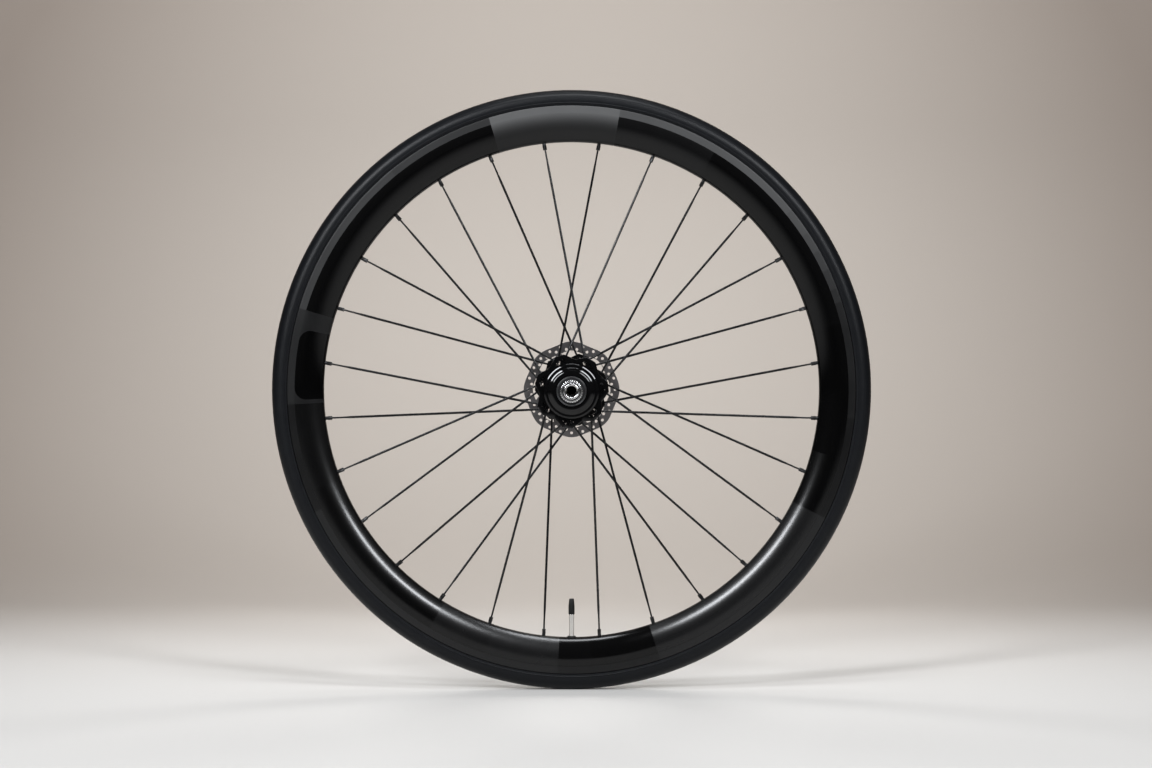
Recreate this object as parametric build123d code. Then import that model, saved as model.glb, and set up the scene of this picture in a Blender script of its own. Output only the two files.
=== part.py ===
from build123d import *
import os
from math import asin, atan2, cos, degrees, radians, sin, sqrt

# Front road wheel for a disc brake: deep hollow rim, slick clincher tyre, straight-pull bladed spokes,
# a hub on two sealed bearings and a wave-edged rotor.
# Millimetres. The axle lies along Y, the rotor is on the +Y side and the valve is at the lowest point.

# Rim
bead_seat_radius = 311.0
bead_flange_height = 7.0
bead_flange_thickness = 2.7
bead_flange_round = 1.0
rim_depth = 40.5
rim_width = 28.0
rim_inner_width = 19.0
rim_widest_depth = 15.0
rim_nose_radius = 7.0
rim_side_wall = 1.8
rim_band_height = 8.5
rim_band_step = 0.4
tyre_bed_thickness = 2.4
well_depth = 3.0
well_width = 11.0
well_slope_width = 0.8
spoke_bed_thickness = 3.5
spoke_bed_width = 7.6
access_hole_radius = 3.8

# Tyre, tube and tape
tyre_height = 25.0
tread_thickness = 2.4
sidewall_thickness = 1.4
tyre_overhang = 0.3
tyre_rim_gap = 0.4
bead_width = 2.7
bead_gap = 0.2
tape_thickness = 0.6
tape_edge_gap = 0.3
tube_wall = 0.7
tube_gap = 0.3

# Spokes and nipples
spoke_count = 28
lacing_step = 3
spoke_offset = 21.0
spoke_stagger = 1.1
butt_radius = 1.15
butt_length = 12.0
blade_width = 2.4
blade_thickness = 1.0
blade_taper = 12.0
thread_radius = 1.0
thread_length = 24.0
thread_gap = 0.05
spoke_head_radius = 2.2
spoke_head_thickness = 1.7
nipple_radius = 2.0
nipple_head_radius = 3.1
nipple_head_height = 2.6
nipple_flats = 3.3
nipple_round_length = 2.2
nipple_reach = 7.3
nipple_hole_gap = 0.3

# Hub shell
hub_width = 100.0
right_flange_setback = 17.0
left_flange_setback = 27.5
flange_thickness = 7.5
flank_distance = 34.0
spoke_hole_length = 5.0
spoke_hole_gap = 0.15
lobe_wall = 1.6
lobe_round = 1.4
flange_chamfer = 0.6
window_length = 3.6
window_margin = 0.4
web_rise = 6.0
barrel_wall = 2.7
spline_shoulder = 3.7
dome_base_radius = 31.2
dome_lip = 4.1
dome_rings = 3

# Bearings
bearing_bore_radius = 7.5
bearing_outer_radius = 14.0
bearing_width = 7.0
ball_radius = 1.75
ball_count = 11
ball_gap = 0.03
race_shoulder = 1.25
cage_wall = 1.3
cage_gap = 0.08
cage_front = 0.9
cage_seal_gap = 0.3
seal_thickness = 0.7
seal_gap = 0.1
bearing_stop = 1.2

# Axle and end caps
axle_bore_radius = 6.05
axle_shoulder = 1.3
right_bearing_setback = 8.5
left_bearing_setback = 19.0
axle_end_setback = 4.8
end_cap_neck_gap = 0.4
end_cap_ring_radius = 13.0
end_cap_ring_gap = 0.85
end_cap_nose_radius = 9.0
end_cap_nose_length = 3.2
end_cap_chamfer = 0.6
end_cap_groove_width = 1.1
end_cap_groove_depth = 1.5
dust_ring_lip = 2.8
dust_ring_width = 1.7
dust_ring_thickness = 1.4
dust_ring_gap = 0.25
lip_seal_overlap = 0.6
lip_seal_recess = 0.4
fit_gap = 0.02
axle_seat_gap = 0.05

# Brake rotor, spider and lockring
rotor_setback = 15.3
rotor_radius = 53.3
rotor_wave = 1.1
rotor_waves = 8
rotor_phase = 45.0
rotor_thickness = 1.8
track_width = 10.4
vent_radius = 1.6
vent_count = 24
vent_row_outer = 3.9
vent_row_inner = 7.6
arm_width = 5.6
arm_sweep = 24.0
rivet_circle = 28.0
rivet_radius = 1.5
rivet_head_radius = 2.5
rivet_head_height = 0.6
rivet_gap = 0.05
spider_thickness = 2.4
spider_boss_rise = 0.8
spider_arm_width = 7.4
spline_height = 0.7
spline_count = 16
spline_width = 3.0
spline_gap = 0.06
lockring_overlap = 2.1
lockring_thickness = 1.6
lockring_seat = 1.6
lockring_wall = 1.6
lockring_bearing_gap = 0.6
spline_wall = 1.0
lockring_gap = 0.05
notch_count = 8
notch_width = 3.0
notch_depth = 0.9

# Valve
valve_angle = 270.0
stem_radius = 3.0
stem_reach = 25.2
stem_bore = 1.4
stem_hole_gap = 0.25
foot_edge_gap = 0.3
foot_thickness = 1.2
core_radius = 2.6
core_reach = 7.6
core_depth = 6.0
core_gap = 0.05
pin_radius = 0.8
pin_reach = 7.0
lock_nut_radius = 2.0
lock_nut_height = 3.0
valve_cap_length = 17.8
valve_cap_tip_radius = 2.7
valve_cap_wall = 0.7
valve_cap_chamfer = 1.0
valve_cap_taper = 10.0
valve_cap_gap = 0.2
collar_radius = 4.8
collar_height = 1.2

# Worked out from the sizes above
rim_outer_radius = bead_seat_radius + bead_flange_height
rim_nose = rim_outer_radius - rim_depth
rim_widest = rim_outer_radius - rim_widest_depth
rim_half = rim_width / 2
bead_half = rim_inner_width / 2
edge_half = bead_half + bead_flange_thickness
well_radius = bead_seat_radius - well_depth
well_half = well_width / 2
nipple_seat = rim_nose + spoke_bed_thickness
cavity_top = well_radius - tyre_bed_thickness
tape_top = well_radius + fit_gap + tape_thickness
crown_radius = bead_seat_radius + tyre_height
tyre_edge = rim_outer_radius + tyre_rim_gap
tyre_edge_half = edge_half + tyre_overhang
section_radius = (tyre_edge_half**2 + (crown_radius - tyre_edge)**2) / (2 * (crown_radius - tyre_edge))
section_centre = crown_radius - section_radius
tube_floor = tape_top + tube_gap

lobe_count = spoke_count // 4
lobe_pitch = 360 / lobe_count
spoke_pitch = 360 / spoke_count
spoke_lean = degrees(asin(spoke_offset / nipple_seat))
lobe_to_rim = lacing_step * spoke_pitch
flank_turn = lobe_to_rim + spoke_lean
spoke_hole_radius = butt_radius + spoke_hole_gap
corner_reach = spoke_offset + spoke_hole_radius + lobe_wall
corner_radius = sqrt(corner_reach**2 + flank_distance**2)
corner_turn = flank_turn - degrees(atan2(corner_reach, flank_distance))
valley_radius = flank_distance / cos(radians(flank_turn - lobe_pitch / 2))
seat_distance = flank_distance - spoke_hole_length

end_face = hub_width / 2
right_flange_place = end_face - right_flange_setback
left_flange_place = end_face - left_flange_setback
right_bearing_outer = -(end_face - right_bearing_setback)
right_bearing_inner = right_bearing_outer + bearing_width
left_bearing_outer = end_face - left_bearing_setback
left_bearing_inner = left_bearing_outer - bearing_width
right_flange_face = -(right_flange_place + flange_thickness / 2)
left_flange_face = left_flange_place + flange_thickness / 2
dome_top = right_bearing_outer - dust_ring_thickness - dust_ring_gap
dome_height = right_flange_face - dome_top
pitch_radius = (bearing_bore_radius + bearing_outer_radius) / 2
inner_race_radius = pitch_radius - race_shoulder
outer_race_radius = pitch_radius + race_shoulder
shell_bore = bearing_outer_radius - bearing_stop
barrel_radius = shell_bore + barrel_wall
web_radius = barrel_radius + web_rise
dust_ring_radius = bearing_outer_radius + dust_ring_lip
dust_ring_bore = dust_ring_radius - dust_ring_width
dome_top_radius = dust_ring_radius + dome_lip
cage_back = bearing_width / 2 - seal_thickness - cage_seal_gap
axle_end = end_face - axle_end_setback
axle_shoulder_radius = bearing_bore_radius + axle_shoulder
end_cap_neck_radius = inner_race_radius - end_cap_neck_gap
end_cap_ring_width = end_face - end_cap_nose_length - end_cap_ring_gap + dome_top
seat_clear = spoke_head_radius * right_flange_place / nipple_seat + spoke_hole_gap

rotor_face = end_face - rotor_setback - rotor_thickness / 2
spider_back = rotor_face - spider_thickness
spider_front = rotor_face + rotor_thickness + spider_boss_rise
spline_end = spider_front - lockring_gap
lockring_thread_radius = bearing_outer_radius + lockring_seat
lockring_bore = lockring_thread_radius - lockring_wall
lockring_end = left_bearing_outer + lockring_bearing_gap
spline_root_radius = lockring_thread_radius + spline_wall
spline_tip_radius = spline_root_radius + spline_height
spider_boss_radius = spline_tip_radius + spline_shoulder
lockring_radius = spline_tip_radius + lockring_overlap

stem_end = rim_nose - stem_reach
core_end = stem_end - core_reach
valve_cap_base = stem_end - valve_cap_gap
valve_cap_tip = valve_cap_base - valve_cap_length
valve_cap_bore = core_radius + valve_cap_gap
valve_cap_base_radius = valve_cap_bore + valve_cap_wall
tube_foot_half = well_half - tube_gap
foot_radius = tube_foot_half - tube_wall - foot_edge_gap


def at(radius, angle, y=0.0):
    """Point at a polar place in the wheel's plane, seen from the -Y side."""
    return Vector(radius * cos(radians(angle)), y, radius * sin(radians(angle)))


def flat_at(radius, angle):
    """The same polar place as a point of a flat outline."""
    return (radius * cos(radians(angle)), radius * sin(radians(angle)))


def turned(*points):
    """Solid of revolution about the axle from a closed outline of (radius, y) points."""
    return revolve(make_face(Polyline(*points, close=True)), axis=Axis.Y)


def turned_upright(*points):
    """Solid of revolution about the valve's line from a closed outline of (radius, z) points."""
    outline = Plane.XZ * make_face(Polyline(*points, close=True))
    return revolve(outline, axis=Axis.Z)


def plate(sketch, y_low, y_high):
    """Flat piece across the axle, between two places along it."""
    return extrude(Plane.XZ.offset(-y_high) * sketch, amount=y_high - y_low)


def rod(radius, plane, low, high):
    """Round rod along a plane's normal, between two distances from its origin."""
    return plane.offset(low) * Cylinder(radius, high - low, align=(Align.CENTER, Align.CENTER, Align.MIN))


def one_solid(shape):
    """The single solid of a shape."""
    return shape.solid()


# Spoke layout: neighbours in pairs lean the same way, even places belong to the right flange.
def rim_angle(place):
    return valve_angle + spoke_pitch * (place + 0.5)


def spoke_side(place):
    return 1 if place % 4 < 2 else -1


def spoke_flange(place):
    return -right_flange_place if place % 2 == 0 else left_flange_place


def spoke_plane(place):
    """Frame on a spoke: origin at its seat in the flange, normal along the spoke to its nipple seat."""
    side = spoke_side(place)
    run = rim_angle(place) - side * spoke_lean
    foot = at(spoke_offset, run + side * 90)
    seat = foot + at(seat_distance, run) + Vector(0, spoke_flange(place) + side * spoke_stagger, 0)
    along = (at(nipple_seat, rim_angle(place)) - seat).normalized()
    across = Vector(0, 1, 0).cross(along)
    return Plane(origin=seat, x_dir=across, z_dir=along)


def spoke_run(place):
    """Length from a spoke's seat in the flange to its nipple's seat in the rim."""
    return (at(nipple_seat, rim_angle(place)) - spoke_plane(place).origin).length


def rim_outer_outline():
    """Half of the rim's outside, from the nose round the side to the middle of the tyre bed."""
    nose_centre = rim_nose + rim_nose_radius
    rise = rim_widest - nose_centre
    flank_radius = (rim_half**2 + rise**2 - rim_nose_radius**2) / (2 * (rim_half - rim_nose_radius))
    flank_drop = flank_radius - rim_half
    reach = sqrt(rise**2 + flank_drop**2)
    join = (nose_centre - rim_nose_radius * rise / reach, rim_nose_radius * flank_drop / reach)
    middle = atan2(join[1], join[0] - nose_centre) / 2 + radians(90)
    nose_middle = (nose_centre + rim_nose_radius * cos(middle), rim_nose_radius * sin(middle))
    shoulder = rim_outer_radius - rim_band_height
    shoulder_half = sqrt(flank_radius**2 - (shoulder - rim_widest)**2) - flank_drop
    round_centre = (rim_outer_radius - bead_flange_round, edge_half - bead_flange_round)
    lines = [
        ThreePointArc((rim_nose, 0), nose_middle, join),
        ThreePointArc(join, (rim_widest, rim_half), (shoulder, shoulder_half)),
        Polyline(
            (shoulder, shoulder_half),
            (shoulder, shoulder_half - rim_band_step),
            (round_centre[0], edge_half),
        ),
        CenterArc(round_centre, bead_flange_round, 0, 90),
        Polyline(
            (rim_outer_radius, round_centre[1]),
            (rim_outer_radius, bead_half),
            (bead_seat_radius, bead_half),
            (bead_seat_radius, well_half + well_slope_width),
            (well_radius, well_half),
            (well_radius, 0),
        ),
    ]
    return lines


def rim_cavity_outline():
    """Half of the hollow inside the rim, from the spoke bed round to the tyre bed."""
    side = rim_half - rim_side_wall
    bed_half = spoke_bed_width / 2
    rise = rim_widest - nipple_seat
    centre = (side**2 - rise**2 - bed_half**2) / (2 * (side - bed_half))
    top_half = centre + sqrt((side - centre)**2 - (cavity_top - rim_widest)**2)
    lines = [
        Line((nipple_seat, 0), (nipple_seat, bed_half)),
        ThreePointArc((nipple_seat, bed_half), (rim_widest, side), (cavity_top, top_half)),
        Line((cavity_top, top_half), (cavity_top, 0)),
    ]
    return lines


def mirrored_face(half_lines):
    """Closed face from half an outline and its mirror image across the wheel's middle plane."""
    half = Curve() + half_lines
    return make_face(half + mirror(half, about=Plane.XZ))


def make_rim():
    section = mirrored_face(rim_outer_outline()) - mirrored_face(rim_cavity_outline())
    rim = revolve(section, axis=Axis.Y)
    cuts = []
    for place in range(spoke_count):
        line = spoke_plane(place).offset(spoke_run(place))
        cuts.append(rod(nipple_radius + nipple_hole_gap, line, -2 * spoke_bed_thickness, spoke_bed_thickness))
        outward = Plane(origin=at(cavity_top, rim_angle(place)), z_dir=at(1, rim_angle(place)))
        cuts.append(rod(access_hole_radius, outward, -tyre_bed_thickness, 2 * tyre_bed_thickness))
    outward = Plane(origin=at(rim_nose, valve_angle), z_dir=at(1, valve_angle))
    cuts.append(rod(stem_radius + stem_hole_gap, outward, -rim_nose_radius, rim_depth))
    return one_solid(rim - cuts)


def casing_face(gap, floor, foot_half):
    """Face that fills the casing's inside, drawn in by a gap and closed at a floor radius."""
    shoulder = (section_centre, section_radius - sidewall_thickness - gap)
    knee = (rim_outer_radius - bead_flange_round, bead_half - bead_gap - bead_width - gap)
    foot = (floor, foot_half)
    crown = crown_radius - tread_thickness - gap
    outline = [
        ThreePointArc((shoulder[0], -shoulder[1]), (crown, 0), shoulder),
        Polyline(shoulder, knee, foot),
        Line(foot, (foot[0], -foot[1])),
        Polyline((foot[0], -foot[1]), (knee[0], -knee[1]), (shoulder[0], -shoulder[1])),
    ]
    return make_face(Curve() + outline)


def make_tyre():
    foot = bead_seat_radius + bead_gap
    outer_half = bead_half - bead_gap
    outline = [
        ThreePointArc((tyre_edge, -tyre_edge_half), (crown_radius, 0), (tyre_edge, tyre_edge_half)),
        Polyline(
            (tyre_edge, tyre_edge_half),
            (tyre_edge, outer_half),
            (foot, outer_half),
            (foot, -outer_half),
            (tyre_edge, -outer_half),
            (tyre_edge, -tyre_edge_half),
        ),
    ]
    section = make_face(Curve() + outline) - casing_face(0, foot - bead_gap, outer_half - bead_width)
    return one_solid(revolve(section, axis=Axis.Y))


def make_inner_tube():
    inside = casing_face(tube_gap + tube_wall, tube_floor + tube_wall, tube_foot_half - tube_wall)
    section = casing_face(tube_gap, tube_floor, tube_foot_half) - inside
    outward = Plane(origin=at(tube_floor, valve_angle), z_dir=at(1, valve_angle))
    hole = rod(stem_radius + fit_gap, outward, -tube_wall, 2 * tube_wall)
    return one_solid(revolve(section, axis=Axis.Y) - hole)


def make_rim_tape():
    half = well_half - tape_edge_gap
    low = well_radius + fit_gap
    tape = turned((low, -half), (tape_top, -half), (tape_top, half), (low, half))
    outward = Plane(origin=at(low, valve_angle), z_dir=at(1, valve_angle))
    return one_solid(tape - rod(stem_radius + stem_hole_gap, outward, -tape_thickness, 2 * tape_thickness))


def make_spoke(run):
    """Straight-pull spoke along Z, from its seat in the flange at zero to its end in the nipple."""
    end = run + nipple_head_height / 2
    thread_start = end - thread_length
    sections = [
        Plane.XY.offset(butt_length) * Circle(butt_radius),
        Plane.XY.offset(butt_length + blade_taper) * Ellipse(blade_width / 2, blade_thickness / 2),
        Plane.XY.offset(thread_start - blade_taper) * Ellipse(blade_width / 2, blade_thickness / 2),
        Plane.XY.offset(thread_start) * Circle(thread_radius),
    ]
    head_crown = spoke_head_radius - butt_radius
    head = revolve(
        Plane.XZ * make_face(
            Polyline(
                (0, -seat_clear),
                (spoke_head_radius, -seat_clear),
                (spoke_head_radius, -seat_clear - spoke_head_thickness / 2),
                (head_crown, -seat_clear - spoke_head_thickness),
                (0, -seat_clear - spoke_head_thickness),
                close=True,
            )
        ),
        axis=Axis.Z,
    )
    butt = rod(butt_radius, Plane.XY, -seat_clear, butt_length)
    thread = rod(thread_radius, Plane.XY, thread_start, end)
    return one_solid(head + butt + loft(sections, ruled=True) + thread)


def make_nipple():
    """Nipple along Z, its seat in the rim at zero and its wrench flats on the hub's side."""
    hole_radius = nipple_radius + nipple_hole_gap
    lift = hole_radius * right_flange_place / nipple_seat
    shank_low = -(spoke_bed_thickness + nipple_reach)
    flats_top = -(spoke_bed_thickness + nipple_round_length)
    shoulder = lift + nipple_head_radius - nipple_radius
    top = lift + nipple_head_height
    round_part = revolve(
        Plane.XZ * make_face(
            Polyline(
                (0, flats_top),
                (nipple_radius, flats_top),
                (nipple_radius, lift),
                (nipple_head_radius, shoulder),
                (nipple_head_radius, top),
                (0, top),
                close=True,
            )
        ),
        axis=Axis.Z,
    )
    flats_length = flats_top - shank_low
    square = Box(nipple_flats, nipple_flats, flats_length) & Cylinder(nipple_radius, flats_length)
    square = Pos(0, 0, (flats_top + shank_low) / 2) * square
    bore = rod(thread_radius + thread_gap, Plane.XY, shank_low, top)
    return one_solid(round_part + square - bore)


def flange_sketch(first_lobe):
    """Seven-lobed flange outline with a window behind each pair of spoke holes."""
    points = []
    for lobe in range(lobe_count):
        middle = first_lobe + lobe * lobe_pitch
        points.append(flat_at(corner_radius, middle - corner_turn))
        points.append(flat_at(corner_radius, middle + corner_turn))
        points.append(flat_at(valley_radius, middle + lobe_pitch / 2))
    outline = make_face(Polyline(*points, close=True))
    outline = fillet(outline.vertices(), lobe_round)
    window_half = spoke_head_radius + window_margin
    pockets = []
    for lobe in range(lobe_count):
        middle = first_lobe + lobe * lobe_pitch
        for side in (1, -1):
            run = middle - side * flank_turn
            pocket = Pos(seat_distance - window_length / 2, side * spoke_offset)
            pocket = pocket * Rectangle(window_length, 2 * window_half)
            pockets.append(Rot(0, 0, run) * pocket)
    return outline - pockets


def make_flange(first_lobe, y_low, y_high):
    """Flange plate with its lobed edge broken on both faces."""
    body = plate(flange_sketch(first_lobe), y_low, y_high)
    faces = body.faces().sort_by(Axis.Y)
    edges = faces[0].outer_wire().edges() + faces[-1].outer_wire().edges()
    return chamfer(edges, flange_chamfer)


def dome_arcs():
    """Rounded rings of the dome, stepping down from its flat top to the right flange."""
    ring_width = (dome_base_radius - dome_top_radius) / dome_rings
    ring_height = dome_height / dome_rings
    arcs = []
    for ring in range(dome_rings):
        crest = Vector(dome_top_radius + ring * ring_width, dome_top + ring * ring_height)
        arcs.append(TangentArc(crest, crest + Vector(ring_width, ring_height), tangent=(1, 0)))
    return arcs


def spline_keys(gap):
    """Ring of straight spline keys, each grown by a gap and rooted in the middle of the spline's wall."""
    root = spline_root_radius - spline_wall / 2
    length = spline_tip_radius + gap - root
    keys = []
    for key in range(spline_count):
        place = Rot(0, 0, key * 360 / spline_count) * Pos(root + length / 2, 0)
        keys.append(place * Rectangle(length, spline_width + 2 * gap))
    return keys


def make_hub_shell():
    right_inside = right_flange_face + flange_thickness
    left_inside = left_flange_face - flange_thickness
    mouth = [
        (shell_bore, right_bearing_inner),
        (bearing_outer_radius, right_bearing_inner),
        (bearing_outer_radius, right_bearing_outer),
        (dust_ring_radius, right_bearing_outer),
        (dust_ring_radius, dome_top),
        (dome_top_radius, dome_top),
    ]
    barrel = [
        (dome_base_radius, right_flange_face),
        (web_radius, right_flange_face),
        (web_radius, right_inside),
        (barrel_radius, right_inside + web_rise / 2),
        (barrel_radius, left_inside - web_rise / 2),
        (web_radius, left_inside),
        (web_radius, left_flange_face),
        (spider_boss_radius, left_flange_face),
        (spider_boss_radius, spider_back),
        (spline_root_radius, spider_back),
        (spline_root_radius, spline_end),
        (lockring_thread_radius + fit_gap, spline_end),
        (lockring_thread_radius + fit_gap, left_bearing_outer),
        (bearing_outer_radius, left_bearing_outer),
        (bearing_outer_radius, left_bearing_inner),
        (shell_bore, left_bearing_inner),
        mouth[0],
    ]
    section = make_face(Curve() + [Polyline(*mouth), *dome_arcs(), Polyline(*barrel)])
    shell = revolve(section, axis=Axis.Y)
    right_flange = make_flange(rim_angle(0) + lobe_to_rim, right_flange_face, right_inside)
    left_flange = make_flange(rim_angle(1) + lobe_to_rim, left_inside, left_flange_face)
    core = turned(
        (0, right_bearing_outer),
        (barrel_radius, right_bearing_outer),
        (barrel_radius, left_bearing_outer),
        (0, left_bearing_outer),
    )
    keys = plate(Sketch() + spline_keys(0), spider_back, spline_end)
    shell = shell + [right_flange - core, left_flange - core, keys]
    holes = []
    for place in range(spoke_count):
        line = spoke_plane(place)
        holes.append(rod(spoke_hole_radius, line, -window_length / 2, spoke_hole_length + lobe_wall))
    return one_solid(shell - holes)


def make_bearing(middle):
    """Deep-groove bearing centred on a place along the axle: rings, balls, cage and seals."""
    low = middle - bearing_width / 2
    high = middle + bearing_width / 2
    groove = revolve(
        Pos(pitch_radius, middle) * Circle(ball_radius + ball_gap),
        axis=Axis.Y,
    )
    bore = bearing_bore_radius + fit_gap
    outside = bearing_outer_radius - fit_gap
    inner_ring = turned(
        (bore, low), (inner_race_radius, low), (inner_race_radius, high), (bore, high)
    ) - groove
    outer_ring = turned(
        (outer_race_radius, low), (outside, low), (outside, high), (outer_race_radius, high)
    ) - groove
    balls = []
    pockets = []
    for ball in range(ball_count):
        centre = at(pitch_radius, ball * 360 / ball_count, middle)
        outward = Plane(origin=centre, z_dir=at(1, ball * 360 / ball_count))
        balls.append(Pos(centre) * Sphere(ball_radius))
        pockets.append(rod(ball_radius + cage_gap, outward, -cage_wall, cage_wall))
    cage_low = pitch_radius - cage_wall / 2
    cage_high = pitch_radius + cage_wall / 2
    cage = turned(
        (cage_low, middle - cage_front),
        (cage_high, middle - cage_front),
        (cage_high, middle + cage_back),
        (cage_low, middle + cage_back),
    ) - pockets
    seals = []
    for start in (low, high - seal_thickness):
        seals.append(
            turned(
                (inner_race_radius + seal_gap, start),
                (outer_race_radius - fit_gap, start),
                (outer_race_radius - fit_gap, start + seal_thickness),
                (inner_race_radius + seal_gap, start + seal_thickness),
            )
        )
    return {
        "inner_ring": one_solid(inner_ring),
        "outer_ring": one_solid(outer_ring),
        "balls": Compound([one_solid(ball) for ball in balls]),
        "cage": one_solid(cage),
        "seals": Compound([one_solid(seal) for seal in seals]),
    }


def make_axle():
    return one_solid(
        turned(
            (axle_bore_radius, -axle_end),
            (bearing_bore_radius, -axle_end),
            (bearing_bore_radius, right_bearing_inner),
            (axle_shoulder_radius, right_bearing_inner),
            (axle_shoulder_radius, left_bearing_inner),
            (bearing_bore_radius, left_bearing_inner),
            (bearing_bore_radius, axle_end),
            (axle_bore_radius, axle_end),
        )
    )


def make_end_cap(side, bearing_face):
    """Push-on end cap: sleeve over the axle, grooved ring and nose that meets the fork."""
    socket = bearing_bore_radius + axle_seat_gap
    nose = side * end_face
    ring_high = side * (end_face - end_cap_nose_length)
    ring_low = ring_high - side * end_cap_ring_width
    groove_floor = ring_high - side * end_cap_groove_depth
    groove_radius = end_cap_nose_radius + end_cap_groove_width
    stop = side * (axle_end + axle_seat_gap)
    return one_solid(
        turned(
            (socket, bearing_face),
            (end_cap_neck_radius, bearing_face),
            (end_cap_neck_radius, ring_low),
            (end_cap_ring_radius, ring_low),
            (end_cap_ring_radius, ring_high - side * end_cap_chamfer),
            (end_cap_ring_radius - end_cap_chamfer, ring_high),
            (groove_radius, ring_high),
            (groove_radius, groove_floor),
            (end_cap_nose_radius, groove_floor),
            (end_cap_nose_radius, nose - side * end_cap_chamfer),
            (end_cap_nose_radius - end_cap_chamfer, nose),
            (axle_bore_radius, nose),
            (axle_bore_radius, stop),
            (socket, stop),
        )
    )


def make_dust_ring():
    outside = dust_ring_radius - fit_gap
    return one_solid(
        turned(
            (dust_ring_bore, dome_top),
            (outside, dome_top),
            (outside, dome_top + dust_ring_thickness),
            (dust_ring_bore, dome_top + dust_ring_thickness),
        )
    )


def make_lip_seal():
    """Rubber ring inside the dust ring, its lip behind the end cap's ring."""
    inside = end_cap_ring_radius - lip_seal_overlap
    outside = dust_ring_bore - fit_gap
    face = dome_top + lip_seal_recess
    back = dome_top + dust_ring_thickness
    return one_solid(turned((inside, face), (outside, face), (outside, back), (inside, back)))


def wave_outline(radius, depth):
    """Closed wavy line round the rotor."""
    points_per_wave = 4
    steps = points_per_wave * rotor_waves
    points = []
    for step in range(steps):
        angle = 360 * step / steps
        points.append(flat_at(radius + depth * cos(radians(rotor_waves * (angle - rotor_phase))), angle))
    return make_face(Spline(*points, periodic=True))


def arm_angles():
    return [rotor_phase + 360 * arm / rotor_waves for arm in range(rotor_waves)]


def make_brake_rotor():
    track_inner = rotor_radius - track_width
    sketch = wave_outline(rotor_radius, rotor_wave) - wave_outline(track_inner, rotor_wave)
    arms = []
    for angle in arm_angles():
        start = Vector(*flat_at(rivet_circle, angle))
        finish = Vector(*flat_at(track_inner + arm_width / 2, angle + arm_sweep))
        run = finish - start
        turn = degrees(atan2(run.Y, run.X))
        middle = (start + finish) / 2
        arms.append(Pos(middle.X, middle.Y) * Rot(0, 0, turn) * SlotCenterToCenter(run.length, arm_width))
    sketch = sketch + arms
    cuts = []
    for angle in arm_angles():
        cuts.append(Pos(*flat_at(rivet_circle, angle)) * Circle(rivet_radius + rivet_gap))
    vent_pitch = 360 / vent_count
    for vent in range(vent_count):
        outer_place = flat_at(rotor_radius - vent_row_outer, vent * vent_pitch)
        inner_place = flat_at(rotor_radius - vent_row_inner, (vent + 0.5) * vent_pitch)
        cuts.append(Pos(*outer_place) * Circle(vent_radius))
        cuts.append(Pos(*inner_place) * Circle(vent_radius))
    return one_solid(plate(sketch - cuts, rotor_face, rotor_face + rotor_thickness))


def make_rotor_spider():
    arms = []
    holes = []
    for angle in arm_angles():
        arms.append(
            Rot(0, 0, angle)
            * Pos((rivet_circle + spider_boss_radius) / 2, 0)
            * SlotCenterToCenter(rivet_circle - spider_boss_radius, spider_arm_width)
        )
        holes.append(Pos(*flat_at(rivet_circle, angle)) * Circle(rivet_radius + rivet_gap))
    boss = plate(Circle(spider_boss_radius), spider_back, spider_front)
    body = boss + plate(Circle(spider_boss_radius) + arms - holes, spider_back, rotor_face)
    bore = Circle(spline_root_radius + spline_gap)
    return one_solid(body - plate(bore + spline_keys(spline_gap), spider_back, spider_front))


def make_rotor_rivets():
    rivets = []
    low = rotor_face - spider_thickness
    high = rotor_face + rotor_thickness
    for angle in arm_angles():
        spot = Pos(*flat_at(rivet_circle, angle))
        rivet = plate(spot * Circle(rivet_radius), low, high)
        rivet += plate(spot * Circle(rivet_head_radius), low - rivet_head_height, low)
        rivet += plate(spot * Circle(rivet_head_radius), high, high + rivet_head_height)
        rivets.append(one_solid(rivet))
    return Compound(rivets)


def make_rotor_lockring():
    face = spider_front
    ring = turned(
        (lockring_bore, face + lockring_thickness),
        (lockring_bore, lockring_end),
        (lockring_thread_radius, lockring_end),
        (lockring_thread_radius, face),
        (lockring_radius, face),
        (lockring_radius, face + lockring_thickness / 2),
        (lockring_radius - lockring_thickness / 2, face + lockring_thickness),
    )
    notches = []
    for notch in range(notch_count):
        notches.append(
            Rot(0, 0, notch * 360 / notch_count)
            * Pos(lockring_bore, 0)
            * Rectangle(2 * notch_depth, notch_width)
        )
    cut = plate(Sketch() + notches, lockring_end, face + lockring_thickness)
    return one_solid(ring - cut)


def make_valve_stem():
    foot_low = -(tube_floor + tube_wall + fit_gap)
    foot_high = foot_low - foot_thickness
    socket = core_radius + core_gap
    return one_solid(
        turned_upright(
            (stem_bore, foot_high),
            (foot_radius, foot_high),
            (foot_radius, foot_low),
            (stem_radius, foot_low),
            (stem_radius, -stem_end),
            (socket, -stem_end),
            (socket, -stem_end - core_depth),
            (stem_bore, -stem_end - core_depth),
        )
    )


def make_valve_core():
    bore = pin_radius + core_gap
    return one_solid(
        turned_upright(
            (bore, -stem_end - core_depth + core_gap),
            (core_radius, -stem_end - core_depth + core_gap),
            (core_radius, -core_end),
            (bore, -core_end),
        )
    )


def make_valve_pin():
    low = -stem_end - core_depth + core_gap
    high = -core_end + pin_reach
    tip = high - pin_radius / 2
    return one_solid(
        turned_upright((0, low), (pin_radius, low), (pin_radius, tip), (pin_radius / 2, high), (0, high))
    )


def make_valve_lock_nut():
    bore = pin_radius + core_gap
    low = -core_end + core_gap
    high = low + lock_nut_height
    waist = low + lock_nut_height / 3
    return one_solid(
        turned_upright(
            (bore, low),
            (lock_nut_radius, low),
            (lock_nut_radius, waist),
            (lock_nut_radius * 2 / 3, high),
            (bore, high),
        )
    )


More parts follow.
